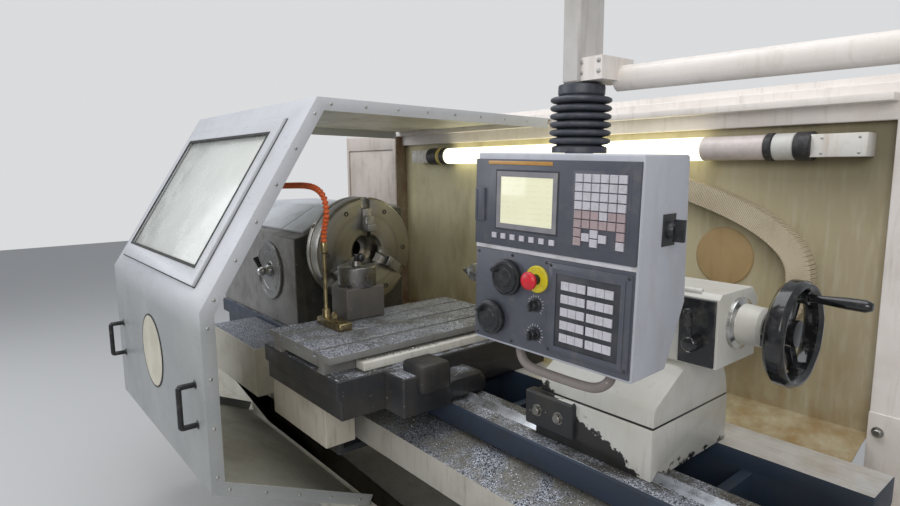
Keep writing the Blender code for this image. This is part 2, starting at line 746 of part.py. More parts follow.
def make_jaw(k, turn):
    """Stepped hard jaw in its groove, with its three gripping steps facing the spindle line."""
    low = JAW_INNER_RADIUS
    face = CHUCK_FACE
    step = JAW_LENGTH / 3
    rise = JAW_HEIGHT / 3
    outline = [
        (face - 0.030 + GAP, low),
        (face + JAW_HEIGHT, low),
        (face + JAW_HEIGHT, low + step),
        (face + JAW_HEIGHT - rise, low + step),
        (face + JAW_HEIGHT - rise, low + 2 * step),
        (face + JAW_HEIGHT - 2 * rise, low + 2 * step),
        (face + JAW_HEIGHT - 2 * rise, low + 3 * step),
        (face - 0.030 + GAP, low + 3 * step),
    ]
    shape = prism_shape(outline, -JAW_WIDTH / 2, JAW_WIDTH / 2, "Y")
    bmesh.ops.transform(shape, matrix=turn, verts=shape.verts)
    middle = turn @ Vector((face, 0, low + JAW_LENGTH / 2))
    rounded(place(f"chuck_jaw_{k + 1}", shape, BARE_STEEL, middle), 0.002)


def make_carriage():
    """Saddle casting on the ways, with a wing under the cross slide and its dovetail on top."""
    left, right = SADDLE_LEFT, SADDLE_LEFT + SADDLE_LENGTH
    bottom = BED_TOP + GAP
    lip = 0.012
    outline = [
        (SADDLE_FRONT, SADDLE_TOP),
        (SADDLE_FRONT, SADDLE_TOP - SADDLE_BAND),
        (SADDLE_FRONT + SADDLE_STEP, SADDLE_TOP - SADDLE_BAND - SADDLE_STEP / 2),
        (SADDLE_FRONT + SADDLE_STEP, WING_BOTTOM),
        (BED_FRONT - lip, WING_BOTTOM),
        (BED_FRONT - lip, bottom),
        (BED_BACK + lip, bottom),
        (BED_BACK + lip, bottom + 0.03),
        (SADDLE_BACK, bottom + 0.05),
        (SADDLE_BACK, SADDLE_TOP),
    ]
    item = prism("saddle", outline, left, right, DARK_IRON)
    rounded(item, 0.004)
    cut(item, vee_groove("saddle_groove", left - 0.01, right + 0.01))
    middle, half, lean = TABLE_LEFT + TABLE_WIDTH / 2, DOVETAIL_WIDTH / 2, DOVETAIL_HEIGHT * 0.8
    rail_top = SADDLE_TOP + DOVETAIL_HEIGHT - PLAY
    rail = [
        (middle - half, SADDLE_TOP - 0.01),
        (middle - half, SADDLE_TOP),
        (middle - half - lean, rail_top),
        (middle + half + lean, rail_top),
        (middle + half, SADDLE_TOP),
        (middle + half, SADDLE_TOP - 0.01),
    ]
    join(item, prism("saddle_dovetail", rail, SADDLE_FRONT + 0.02, SADDLE_BACK - 0.01, None, "Y"))
    front = BED_FRONT + VEE_INSET
    cap = [
        (front - 0.12, bottom + 0.004),
        (front - 0.12, bottom + 0.05),
        (front - 0.08, bottom + 0.085),
        (front + 0.05, bottom + 0.085),
        (front + 0.08, bottom + 0.05),
        (front + 0.08, bottom + 0.004),
    ]
    wiper = prism("way_wiper", cap, right - 0.01, right + WIPER_LENGTH, None)
    rounded(wiper, 0.012)
    join(item, cut(wiper, vee_groove("wiper_groove", right - 0.02, right + 0.2)))
    shoe_top = SADDLE_TOP - 0.002
    shoe = box(
        "saddle_shoe",
        (right - 0.01, SHOE_FRONT, WING_BOTTOM),
        (right + SHOE_LENGTH, SHOE_BACK, shoe_top),
        None,
        edge=0.004,
    )
    join(item, shoe)
    cap_low = (right + 0.02, SHOE_FRONT + 0.05, shoe_top - 0.06)
    cap_high = (right + 0.02 + SHOE_CAP_LENGTH, SHOE_BACK - 0.02, shoe_top + SHOE_CAP_RISE)
    join(item, rounded(box("shoe_cap", cap_low, cap_high, None), 0.016, 2))
    cover_right = TABLE_LEFT + TABLE_WIDTH + 0.015
    cover_low = (cover_right - SLIDE_COVER_WIDTH, SLIDE_COVER_FRONT, SADDLE_TOP + GAP)
    cover_high = (cover_right, SADDLE_BACK - 0.01, SADDLE_TOP + SLIDE_COVER_HEIGHT)
    box("slide_cover", cover_low, cover_high, FRAME_PAINT, edge=0.003)
    motor = box(
        "x_servo_motor",
        (middle - 0.06, SADDLE_BACK + GAP, SADDLE_TOP - 0.125),
        (middle + 0.06, SADDLE_BACK + 0.17, SADDLE_TOP - 0.005),
        DARK_IRON,
    )
    rounded(motor, 0.012)


def make_apron():
    """Bent bracket that reaches round the screw cover to the ball nut, behind a sheet metal apron."""
    top = WING_BOTTOM - GAP
    wall_back = NUT_ARM_FRONT + NUT_ARM_THICKNESS
    arm_top = NUT_ARM_BOTTOM + NUT_ARM_THICKNESS
    nut_front, nut_back = SCREW_Y - NUT_HALF, SCREW_Y + NUT_HALF
    nut_top = SCREW_Z + 0.034
    outline = [
        (NUT_ARM_FRONT, NUT_ARM_BOTTOM),
        (NUT_ARM_FRONT, top),
        (wall_back, top),
        (wall_back, arm_top),
        (nut_front, arm_top),
        (nut_front, nut_top),
        (nut_back, nut_top),
        (nut_back, NUT_ARM_BOTTOM),
    ]
    left = APRON_LEFT + 0.12
    item = prism("nut_bracket", outline, left, left + NUT_ARM_WIDTH, MACHINE_GREY)
    bore = ((left - 0.1, SCREW_Y, SCREW_Z), (left + 0.4, SCREW_Y, SCREW_Z))
    cut(item, cylinder("nut_bore", SCREW_RADIUS + GAP, *bore, None, 20))
    low = (APRON_LEFT, APRON_FRONT, APRON_BOTTOM)
    high = (APRON_LEFT + APRON_LENGTH, NUT_ARM_FRONT - 0.01, top)
    cover = box("apron_cover", low, high, CREAM, edge=0.003)
    room_low = (low[0] + SHEET, low[1] + SHEET, low[2] - 0.1)
    cut(cover, box("apron_room", room_low, (high[0] - SHEET, 0, high[2] - SHEET), None))


def table_outline():
    """The cross slide's end view: slotted table, tongue below it, and the dovetail groove."""
    left, right = TABLE_LEFT, TABLE_LEFT + TABLE_WIDTH
    middle, half = (left + right) / 2, DOVETAIL_WIDTH / 2
    tongue, lean = half + TONGUE_MARGIN, DOVETAIL_HEIGHT * 0.8
    low, slab = SADDLE_TOP + GAP, SADDLE_TOP + TONGUE_HEIGHT
    groove_top = SADDLE_TOP + DOVETAIL_HEIGHT - PLAY + GAP
    run = 2 * GAP
    points = [(middle - tongue, low), (middle - tongue, slab), (left, slab), (left, TABLE_TOP)]
    for k in range(SLOT_COUNT):
        x = middle + (k - (SLOT_COUNT - 1) / 2) * SLOT_PITCH
        floor = TABLE_TOP - SLOT_DEPTH
        points += [
            (x - SLOT_MOUTH, TABLE_TOP),
            (x - SLOT_MOUTH, TABLE_TOP - SLOT_DEPTH / 2),
            (x - SLOT_ROOT, TABLE_TOP - SLOT_DEPTH / 2),
            (x - SLOT_ROOT, floor),
            (x + SLOT_ROOT, floor),
            (x + SLOT_ROOT, TABLE_TOP - SLOT_DEPTH / 2),
            (x + SLOT_MOUTH, TABLE_TOP - SLOT_DEPTH / 2),
            (x + SLOT_MOUTH, TABLE_TOP),
        ]
    points += [(right, TABLE_TOP), (right, slab), (middle + tongue, slab), (middle + tongue, low)]
    points += [
        (middle + half + run, low),
        (middle + half + lean + run, groove_top),
        (middle - half - lean - run, groove_top),
        (middle - half - run, low),
    ]
    return points


def make_cross_slide():
    """Cross slide with its tool post, and the coolant pipe with its jointed hose."""
    prism("cross_slide", table_outline(), TABLE_FRONT, TABLE_FRONT + TABLE_LENGTH, BARE_STEEL, "Y")
    base = TABLE_TOP + GAP
    low = (POST_X - POST_LENGTH / 2, POST_Y - POST_WIDTH / 2, base)
    high = (POST_X + POST_LENGTH / 2, POST_Y + POST_WIDTH / 2, base + POST_HEIGHT)
    box("tool_post_block", low, high, DARK_IRON, edge=0.003)

    drum_x, drum_y, drum_z = POST_X - 0.012, POST_Y + 0.004, base + POST_HEIGHT + GAP
    drum = turned(
        "tool_drum",
        [
            (0, DRUM_HEIGHT + 0.018),
            (0.02, DRUM_HEIGHT + 0.018),
            (0.02, DRUM_HEIGHT),
            (DRUM_RADIUS - 0.004, DRUM_HEIGHT),
        ]
        + [(DRUM_RADIUS, DRUM_HEIGHT - 0.004), (DRUM_RADIUS, 0), (0, 0)],
        (drum_x, drum_y, drum_z),
        (0, 0, 1),
        DARK_IRON,
        32,
    )
    tool_low = drum_z + 0.022
    side = TOOL_SIDE + 2 * GAP
    pocket_x = drum_x - DRUM_RADIUS + 0.008
    pocket = box(
        "tool_pocket",
        (drum_x - 0.2, drum_y - 0.2, tool_low - GAP),
        (pocket_x + side, drum_y + 0.2, tool_low + TOOL_SIDE + GAP),
        None,
    )
    cut(drum, pocket)
    lever_z = drum_z + DRUM_HEIGHT + 0.030
    stem = cylinder_shape(
        0.009, (drum_x, drum_y, drum_z + DRUM_HEIGHT), (drum_x, drum_y, lever_z + 0.012), 12
    )
    join(drum, place("clamp_stem", stem, None))
    bar = tube(
        "clamp_bar",
        [(drum_x, drum_y, lever_z), (drum_x + 0.045, drum_y - 0.012, lever_z + 0.006)],
        0.006,
        None,
    )
    join(drum, bar)
    join(
        drum,
        place("clamp_ball", ball_shape((drum_x + 0.056, drum_y - 0.015, lever_z + 0.008), 0.017), None),
    )
    tip = 0.012
    tool_y = drum_y - 0.035
    shank = [
        (pocket_x + GAP, tool_y),
        (pocket_x + GAP, tool_y + TOOL_LENGTH),
        (pocket_x + GAP + TOOL_SIDE / 2, tool_y + TOOL_LENGTH + tip),
        (pocket_x + GAP + TOOL_SIDE, tool_y + TOOL_LENGTH),
        (pocket_x + GAP + TOOL_SIDE, tool_y),
    ]
    prism("turning_tool", shank, tool_low, tool_low + TOOL_SIDE, BARE_STEEL, "Z")

    x, y = COOLANT_X, COOLANT_Y
    length, r = COOLANT_PIPE_TOP, COOLANT_PIPE_RADIUS
    profile = [
        (0, length),
        (0.013, length),
        (0.013, length - 0.035),
        (r, length - 0.042),
        (r, 0.06),
        (0.014, 0.056),
        (0.014, 0),
        (0, 0),
    ]
    pipe = turned("coolant_pipe", profile, (x, y, base), (0, 0, 1), BRASS, 16)
    join(
        pipe,
        box(
            "coolant_valve",
            (x - 0.035, y - 0.022, base),
            (x + 0.135, y + 0.03, base + 0.028),
            None,
            edge=0.003,
        ),
    )
    elbow = [
        (x + 0.06, y, base + 0.02),
        (x + 0.06, y - 0.002, base + 0.05),
        (x + 0.085, y - 0.012, base + 0.058),
        (x + 0.115, y - 0.03, base + 0.045),
    ]
    join(pipe, tube("valve_elbow", elbow, 0.009, None))
    top = base + length
    route = [
        (x, y, top + GAP),
        (x + 0.001, y, top + 0.025),
        (x + 0.012, y, top + 0.055),
        (x + 0.036, y - 0.002, top + 0.11),
        (x + 0.026, y - 0.005, top + 0.165),
    ]
    route += [
        (x - 0.025, y - 0.01, top + 0.193),
        (x - 0.10, y - 0.014, top + 0.20),
        (x - 0.21, y - 0.02, top + 0.197),
        (x - 0.32, y - 0.026, top + 0.194),
    ]
    beaded_hose("coolant_hose", smooth_route(route, HOSE_BEADS * HOSE_RINGS), HOSE_RADIUS, ORANGE_PLASTIC)


def smooth_route(points, count):
    """Evenly spread points on a Catmull-Rom curve through the given points."""
    route = [Vector(p) for p in points]
    ends = [2 * route[0] - route[1], *route, 2 * route[-1] - route[-2]]
    fine = []
    for k in range(len(route) - 1):
        a, b, c, d = ends[k : k + 4]
        for step in range(24):
            t = step / 24
            fine.append(
                0.5 * (
                    2 * b + (c - a) * t + (
                        2 * a - 5 * b + 4 * c - d
                    ) * t**2 + (3 * b - a - 3 * c + d) * t**3
                )
            )
    fine.append(route[-1])
    lengths = [0.0]
    for first, second in zip(fine, fine[1:]):
        lengths.append(lengths[-1] + (second - first).length)
    spread, at = [], 0
    for k in range(count + 1):
        goal = lengths[-1] * k / count
        while at < len(fine) - 2 and lengths[at + 1] < goal:
            at += 1
        share = (goal - lengths[at]) / (lengths[at + 1] - lengths[at])
        spread.append(fine[at].lerp(fine[at + 1], min(share, 1.0)))
    return spread


def swept_shape(route, section_at):
    """Rings of points carried along a route and bridged. section_at(k) gives ring k as (side, up) pairs."""
    shape = bmesh.new()
    rings = []
    side = None
    for k, point in enumerate(route):
        before, after = route[max(k - 1, 0)], route[min(k + 1, len(route) - 1)]
        along = (after - before).normalized()
        if side is None:
            side = along.orthogonal().normalized() if abs(along.y) > 0.9 else Vector((0, 1, 0))
        side = (side - along * side.dot(along)).normalized()
        up = along.cross(side)
        rings.append([shape.verts.new(point + side * a + up * b) for a, b in section_at(k)])
    for first, second in zip(rings, rings[1:]):
        for k in range(len(first)):
            shape.faces.new((first[k], first[k - 1], second[k - 1], second[k]))
    shape.faces.new(rings[0])
    shape.faces.new(reversed(rings[-1]))
    return shape


def beaded_hose(name, route, radius, material):
    """Jointed coolant hose: every segment swells and narrows like the real snap-together beads."""

    def ring(k):
        r = radius * (0.9, 1.24, 1.16)[k % HOSE_RINGS]
        return [(r * math.cos(math.tau * j / 8), r * math.sin(math.tau * j / 8)) for j in range(8)]

    return place(name, swept_shape(route, ring), material, route[0])


def make_tailstock():
    """Tailstock: split base on the ways, casting with the barrel, quill, live centre and hand wheel."""
    bottom = BED_TOP + GAP
    outline = [
        (TAIL_FRONT, bottom),
        (TAIL_FRONT, TAIL_SPLIT - 0.006),
        (TAIL_FRONT + 0.006, TAIL_SPLIT),
        (TAIL_BACK - 0.006, TAIL_SPLIT),
        (TAIL_BACK, TAIL_SPLIT - 0.006),
        (TAIL_BACK, bottom),
    ]
    base = prism("tailstock_base", outline, TAIL_LEFT, TAIL_RIGHT, DARK_IRON)
    cut(base, vee_groove("tailstock_groove", TAIL_LEFT - 0.01, TAIL_RIGHT + 0.01))
    lug_low = (TAIL_LEFT - 0.027, TAIL_FRONT - 0.02, bottom + 0.03)
    clamp = box("tail_clamp_lug", lug_low, (TAIL_LEFT + 0.145, TAIL_FRONT + 0.02, TAIL_SPLIT - 0.004), None)
    join(base, rounded(clamp, 0.006))

    foot = TAIL_SPLIT + GAP
    shoulder = foot + TAIL_SHOULDER
    neck = NECK_HALF_WIDTH
    under = AXIS_Z - BARREL_DROP
    body = [
        (TAIL_FRONT + 0.004, foot),
        (TAIL_FRONT + 0.006, shoulder - 0.012),
        (TAIL_FRONT + 0.016, shoulder),
        (-neck, under - 0.008),
        (-neck, under + 0.02),
        (neck, under + 0.02),
        (neck, under - 0.008),
        (TAIL_BACK - 0.016, shoulder),
        (TAIL_BACK - 0.004, foot),
    ]
    casting = prism("tailstock_casting", body, TAIL_LEFT + 0.015, TAIL_RIGHT, CREAM)
    top = AXIS_Z + BARREL_RISE
    half = BARREL_HALF_WIDTH
    barrel_outline = [
        (-half, under),
        (-half, top - 0.012),
        (-half + 0.012, top),
        (half - 0.03, top),
        (half, top - 0.03),
        (half, under),
    ]
    join(casting, prism("barrel_casting", barrel_outline, BARREL_LEFT, BARREL_RIGHT, None))
    flange = [
        (0, FLANGE_LENGTH), (0.040, FLANGE_LENGTH), (0.048, FLANGE_LENGTH - 0.008), (0.051, FLANGE_PLATE)
    ]
    flange += [(FLANGE_RADIUS, FLANGE_PLATE - 0.004), (FLANGE_RADIUS, -0.01), (0, -0.01)]
    join(casting, turned("wheel_flange", flange, (BARREL_RIGHT, 0, AXIS_Z), (1, 0, 0), None, 32))
    rod = ((BARREL_LEFT + 0.04, -half + 0.014, top), (BARREL_RIGHT - 0.05, -half + 0.014, top))
    join(casting, cylinder("barrel_rod", 0.008, *rod, None, 12))
    bore = ((BARREL_LEFT - 0.1, 0, AXIS_Z), (BARREL_RIGHT - 0.05, 0, AXIS_Z))
    cut(casting, cylinder("quill_bore", QUILL_RADIUS + GAP, *bore, None, 32))
    shaft = 0.013
    hole = ((BARREL_RIGHT - 0.2, 0, AXIS_Z), (BARREL_RIGHT + 0.1, 0, AXIS_Z))
    cut(casting, cylinder("shaft_bore", shaft + GAP, *hole, None, 20))

    plate_y = -half - GAP
    low = (BARREL_RIGHT - 0.005 - CLAMP_PLATE_LENGTH, plate_y - 0.006, under + 0.002)
    box("clamp_plate", low, (BARREL_RIGHT - 0.005, plate_y, top - 0.014), BLACK_GLOSS, edge=0.002)

    turned(
        "quill",
        [
            (0.014, QUILL_LENGTH),
            (QUILL_RADIUS, QUILL_LENGTH),
            (QUILL_RADIUS, 0.003),
            (QUILL_RADIUS - 0.003, 0),
            (0.014, 0),
            (0.014, QUILL_LENGTH),
        ],
        (QUILL_FACE, 0, AXIS_Z),
        (1, 0, 0),
        BARE_STEEL,
        28,
    )
    head, point = CENTRE_LENGTH, POINT_LENGTH
    turned(
        "live_centre",
        [
            (0, head + point),
            (CENTRE_RADIUS * 0.62, head + 0.012),
            (CENTRE_RADIUS * 0.62, head),
            (CENTRE_RADIUS, head - 0.004),
        ]
        + [(CENTRE_RADIUS, 0.012), (CENTRE_RADIUS * 0.8, 0), (0, 0)],
        (QUILL_FACE - GAP, 0, AXIS_Z),
        (-1, 0, 0),
        BARE_STEEL,
        24,
    )
    make_hand_wheel(shaft)


def make_hand_wheel(shaft):
    """Dished hand wheel with a deep rim, straight spokes, a shaft and a spinning crank grip."""
    rim, depth = WHEEL_RADIUS, WHEEL_DEPTH
    hub_back = BARREL_RIGHT + FLANGE_LENGTH + GAP - WHEEL_X
    wheel = turned(
        "hand_wheel",
        [
            (rim - 0.022, depth / 2 - 0.008),
            (rim - 0.014, depth / 2),
            (rim - 0.008, depth / 2),
            (rim, depth / 2 - 0.010),
            (rim, -depth / 2 + 0.010),
        ]
        + [
            (rim - 0.008, -depth / 2),
            (rim - 0.014, -depth / 2),
            (rim - 0.022, -depth / 2 + 0.008),
            (rim - 0.022, depth / 2 - 0.008),
        ],
        (WHEEL_X, 0, AXIS_Z),
        (1, 0, 0),
        BLACK_GLOSS,
        40,
    )
    hub = cylinder_shape(0.032, (WHEEL_X + hub_back, 0, AXIS_Z), (WHEEL_X + 0.01, 0, AXIS_Z), 24)
    join(wheel, place("wheel_hub", hub, None))
    spindle_end = cylinder_shape(shaft, (BARREL_RIGHT - 0.15, 0, AXIS_Z), (WHEEL_X - 0.01, 0, AXIS_Z), 20)
    join(wheel, place("wheel_shaft", spindle_end, None))
    for k in range(WHEEL_SPOKES):
        angle = math.tau * k / WHEEL_SPOKES + math.radians(90)
        spoke = box_shape((WHEEL_X - 0.028, -0.013, 0.02), (WHEEL_X - 0.010, 0.013, rim - 0.012))
        bmesh.ops.rotate(spoke, verts=spoke.verts, cent=(0, 0, 0), matrix=Matrix.Rotation(angle, 3, "X"))
        bmesh.ops.translate(spoke, verts=spoke.verts, vec=(0, 0, AXIS_Z))
        join(wheel, place(f"wheel_spoke_{k}", spoke, None))
    angle = math.radians(62)
    y, z = (rim - 0.036) * math.cos(angle), AXIS_Z + (rim - 0.036) * math.sin(angle)
    boss = cylinder_shape(0.016, (WHEEL_X - 0.02, y, z), (WHEEL_X + 0.012, y, z), 16)
    join(wheel, place("grip_boss", boss, None))
    lug = box_shape((WHEEL_X - 0.02, -0.012, rim - 0.045), (WHEEL_X - 0.004, 0.012, rim - 0.010))
    bmesh.ops.rotate(
        lug, verts=lug.verts, cent=(0, 0, 0), matrix=Matrix.Rotation(-(math.pi / 2 - angle), 3, "X")
    )
    bmesh.ops.translate(lug, verts=lug.verts, vec=(0, 0, AXIS_Z))
    join(wheel, place("grip_lug", lug, None))
    start, length, r = WHEEL_X + 0.012 + GAP, GRIP_LENGTH, GRIP_RADIUS
    turned(
        "crank_grip",
        [
            (0, length),
            (r * 0.8, length),
            (r * 1.3, length - 0.012),
            (r * 1.25, length - 0.05),
            (r * 0.85, 0.02),
            (r * 0.9, 0.006),
            (r * 0.9, 0),
            (0, 0),
        ],
        (start, y, z),
        (1, 0, 0),
        BLACK_GLOSS,
        20,
    )


def make_clamp_lever():
    """Quill clamp lever: a round hub, a thin stem and a black grip."""
    x, z = CLAMP_LEVER_X, AXIS_Z - CLAMP_LEVER_DROP
    y = -BARREL_HALF_WIDTH - 0.006 - 2 * GAP
    hub = [(0, 0.044), (0.015, 0.044), (0.019, 0.040), (0.019, 0.004), (0.015, 0), (0, 0)]
    lever = turned("clamp_lever", hub, (x, y, z), (0, -1, 0), BARE_STEEL, 24)
    centre = Vector((x, y - 0.028, z))
    tip = centre + Vector((-0.006, -0.014, 0.090))
    middle = centre.lerp(tip, 0.48)
    join(lever, place("clamp_stem_rod", cylinder_shape(0.0048, centre, tip.lerp(centre, 0.2), 12), None))
    grip = turned(
        "clamp_grip",
        [(0, 0.046), (0.006, 0.045), (0.0105, 0.039), (0.0088, 0.002), (0.007, 0), (0, 0)],
        middle,
        tip - middle,
        None,
        16,
    )
    join(lever, grip)


def offset_path(points, distance):
    """The path moved sideways by a distance, to the left of its direction, with mitred corners."""
    path = [Vector(p) for p in points]
    normals = []
    for first, second in zip(path, path[1:]):
        run = (second - first).normalized()
        normals.append(Vector((-run.y, run.x)))
    moved = [path[0] + normals[0] * distance]
    for k in range(1, len(path) - 1):
        mitre = (normals[k - 1] + normals[k]).normalized()
        moved.append(path[k] + mitre * (distance / mitre.dot(normals[k])))
    moved.append(path[-1] + normals[-1] * distance)
    return [tuple(p) for p in moved]


def band(points, near, far):
    """Closed outline of a sheet that follows a bent path, from one sideways distance to another."""
    return offset_path(points, near) + offset_path(points, far)[::-1]


def make_rear_frame():
    """Rear frame with the guard's roof rail, the splash wall with a ledge, lamp, port cover and cabinet."""
    depth = FRAME_SECTION
    left, right = CABINET_RIGHT + GAP, REAR_RIGHT
    base = BASE_HEIGHT + GAP
    portal = [
        (left, BEAM_BOTTOM),
        (left, BEAM_TOP),
        (right, BEAM_TOP),
        (right, base),
        (right - depth, base),
        (right - depth, BEAM_BOTTOM),
    ]
    frame = prism("rear_frame", portal, REAR_Y, REAR_Y + depth, FRAME_PAINT, "Y")
    rounded(frame, 0.0025)
    lip_low = (left, REAR_Y + depth - BEAM_LIP_DEPTH, BEAM_TOP - 0.01)
    join(frame, box("beam_lip", lip_low, (right, REAR_Y + depth, BEAM_TOP + BEAM_LIP_HEIGHT), None))
    rail_top = GUARD_ROOF_Z - GUARD_SHEET - GAP
    rail_low = (left, REAR_Y - ROOF_RAIL_REACH, rail_top - ROOF_RAIL_HEIGHT)
    join(frame, box("roof_rail", rail_low, (right - depth, REAR_Y + 0.01, rail_top), None))
    foot_low = (right - depth, REAR_Y - 0.006, base)
    join(frame, box("pillar_foot", foot_low, (right + 0.02, REAR_Y + 0.03, BED_TOP + 0.012), None))

    seat = BED_BACK - WAY_OVERHANG + GAP
    path = [
        (WALL_Y, BEAM_BOTTOM - GAP),
        (WALL_Y, LEDGE_Z),
        (WALL_Y - 0.06, LEDGE_Z - 0.012),
        (seat, BED_BOTTOM + 0.05),
    ]
    prism("rear_wall", band(path, 0, SHEET), left, right - depth - PLAY, WALL_PAINT)
    cover = [(0, 0.006), (PORT_RADIUS - 0.004, 0.006), (PORT_RADIUS, 0.002), (PORT_RADIUS, 0), (0, 0)]
    turned("port_cover", cover, (PORT_X, WALL_Y - GAP, PORT_Z), (0, -1, 0), ORANGE_PLASTIC, 28)
    make_lamp()
    make_energy_chain()

    low, high = (CABINET_LEFT, CABINET_FRONT, base), (CABINET_RIGHT, BASE_BACK, CABINET_TOP)
    cabinet = box("control_cabinet", low, high, FRAME_PAINT, edge=0.006)
    door, seam = 0.03, 0.006
    band_bottom = CABINET_TOP - CABINET_BAND
    recess_low = (CABINET_LEFT + door, CABINET_FRONT - 0.1, base + door)
    cut(
        cabinet,
        box("door_recess", recess_low, (CABINET_RIGHT - door, CABINET_FRONT + 0.02, band_bottom), None),
    )
    panel_low = (CABINET_LEFT + door + seam, CABINET_FRONT + 0.006, base + door + seam)
    join(
        cabinet,
        box(
            "door_panel",
            panel_low,
            (CABINET_RIGHT - door - seam, CABINET_FRONT + 0.05, band_bottom - seam),
            None,
        ),
    )


def make_lamp():
    """Tube lamp along the splash wall: two thick end caps on blocks, and the bright tube between them."""
    y = WALL_Y - GAP - LAMP_CAP_RADIUS
    r, cap, length = LAMP_RADIUS, LAMP_CAP_RADIUS, LAMP_RIGHT - LAMP_LEFT
    sleeve = length - LAMP_CAP_RIGHT
    profile = [
        (0, length),
        (cap - 0.006, length),
        (cap, length - 0.006),
        (cap, length - 0.05),
        (r, length - 0.053),
        (r, sleeve + 0.012),
    ]
    profile += [
        (cap, sleeve + 0.012),
        (cap, sleeve),
        (r, sleeve),
        (r, LAMP_CAP_LEFT),
        (cap, LAMP_CAP_LEFT),
        (cap, 0.006),
        (cap - 0.006, 0),
        (0, 0),
    ]
    lamp = turned("tube_lamp", profile, (LAMP_LEFT, y, LAMP_Z), (1, 0, 0), LAMP_WHITE, 20)
    for name, start in (("left", LAMP_LEFT - LAMP_BLOCK_LENGTH), ("right", LAMP_RIGHT - 0.01)):
        low = (start, y - 0.012, LAMP_Z - LAMP_BLOCK_HEIGHT / 2)
        high = (start + LAMP_BLOCK_LENGTH + 0.01, WALL_Y - GAP, LAMP_Z + LAMP_BLOCK_HEIGHT / 2)
        join(lamp, box("lamp_block_" + name, low, high, None))


def make_energy_chain():
    """Energy chain: a hanging loop of box links, each narrower at its ends, on the splash wall."""
    y = WALL_Y - GAP - CHAIN_WIDTH / 2
    start_z, turn_x = 1.47, 1.205
    route = [(0.55, start_z), (0.80, 1.41), (0.98, 1.348), (1.11, 1.28), (1.19, 1.20), (turn_x, 1.10)]
    route += [(1.17, 1.0), (1.07, 0.93), (0.90, 0.90), (0.70, 0.895)]
    path = smooth_route([(x, y, z) for x, z in route], CHAIN_LINKS * 3)

    def section(k):
        narrow = k % 3 == 0
        w = CHAIN_WIDTH / 2 - (0.005 if narrow else 0)
        t = CHAIN_THICKNESS / 2 - (0.007 if narrow else 0)
        return [(-w, -t), (w, -t), (w, t), (-w, t)]

    place("energy_chain", swept_shape(path, section), CREAM, path[0])


def longer(points, extra):
    """The path drawn out at both ends."""
    first, second = Vector(points[0]), Vector(points[1])
    last, before = Vector(points[-1]), Vector(points[-2])
    start = first + (first - second).normalized() * extra
    end = last + (last - before).normalized() * extra
    return [tuple(start), *points[1:-1], tuple(end)]


def guard_path():
    """The guard's end view from the roof's back edge over the slope and front to the pan's back edge."""
    return [
        (GUARD_ROOF_BACK, GUARD_ROOF_Z),
        (GUARD_TOP_Y, GUARD_TOP_Z),
        (GUARD_FRONT, GUARD_KNEE_Z),
        (GUARD_FRONT, GUARD_SILL_Z),
        (GUARD_PAN_Y, GUARD_PAN_Z),
    ]


def make_guard():
    """Sliding sheet guard, folded round the work area, with stiff flanges at both ends and a window."""
    left, right = GUARD_LEFT, GUARD_RIGHT
    path = guard_path()
    shell = prism("guard_shell", band(path, 0, GUARD_FLANGE), left, right, GUARD_PAINT)
    inside = band(longer(path, 0.05), GUARD_SHEET, GUARD_FLANGE * 2)
    cut(shell, prism("guard_room", inside, left + GUARD_SHEET, right - GUARD_SHEET, None))
    back = band([(1.0, GUARD_ROOF_Z), (FLANGE_BACK, GUARD_ROOF_Z)], GUARD_SHEET, GUARD_FLANGE * 2)
    cut(shell, prism("flange_end", back, left - 0.01, right + 0.01, None))

    knee, top = Vector((GUARD_FRONT, GUARD_KNEE_Z)), Vector((GUARD_TOP_Y, GUARD_TOP_Z))
    up = (top - knee).normalized()
    frame = Matrix(((1, 0, 0, 0), (0, -up.y, up.x, knee.x), (0, up.x, up.y, knee.y), (0, 0, 0, 1)))

    def on_slope(name, low, high, material):
        shape = box_shape((low[0], low[2], low[1]), (high[0], high[2], high[1]))
        bmesh.ops.transform(shape, matrix=frame, verts=shape.verts)
        return place(name, shape, material)

    x0, x1 = left + WINDOW_LEFT_MARGIN, right - WINDOW_RIGHT_MARGIN
    v0, v1 = WINDOW_LOW, WINDOW_LOW + WINDOW_HEIGHT
    bar, seat = WINDOW_BAR, 0.012
    opening = on_slope(
        "window_opening",
        (x0 + bar - seat, v0 + bar - seat, -0.1),
        (x1 - bar + seat, v1 - bar + seat, 0.1),
        None,
    )
    cut(shell, opening)
    window = on_slope("window_frame", (x0, v0, GAP), (x1, v1, WINDOW_PROUD), GUARD_PAINT)
    cut(window, on_slope("window_light", (x0 + bar, v0 + bar, -0.1), (x1 - bar, v1 - bar, 0.1), None))
    inset = bar - seat + GAP
    on_slope("window_pane", (x0 + inset, v0 + inset, -PANE_THICKNESS), (x1 - inset, v1 - inset, 0), GLASS)

    plate = [(0, 0.003), (GUARD_PLATE_RADIUS, 0.003), (GUARD_PLATE_RADIUS, 0), (0, 0)]
    turned("guard_plate", plate, (GUARD_PLATE_X, GUARD_FRONT - GAP, GUARD_PLATE_Z), (0, -1, 0), CREAM, 32)
    low = GUARD_SILL_Z + HANDLE_LOW
    for name, x in (("left", left + HANDLE_INSET), ("right", right - HANDLE_INSET)):
        out, high = GUARD_FRONT - HANDLE_REACH, low + HANDLE_LENGTH
        bend = 0.018
        points = [
            (x, GUARD_FRONT - GAP, low),
            (x, out + bend, low),
            (x, out + bend * 0.3, low + bend * 0.3),
            (x, out, low + bend),
        ]
        points += [
            (x, out, high - bend),
            (x, out + bend * 0.3, high - bend * 0.3),
            (x, out + bend, high),
            (x, GUARD_FRONT - GAP, high),
        ]
        tube("guard_handle_" + name, points, HANDLE_RADIUS, BLACK_GLOSS)


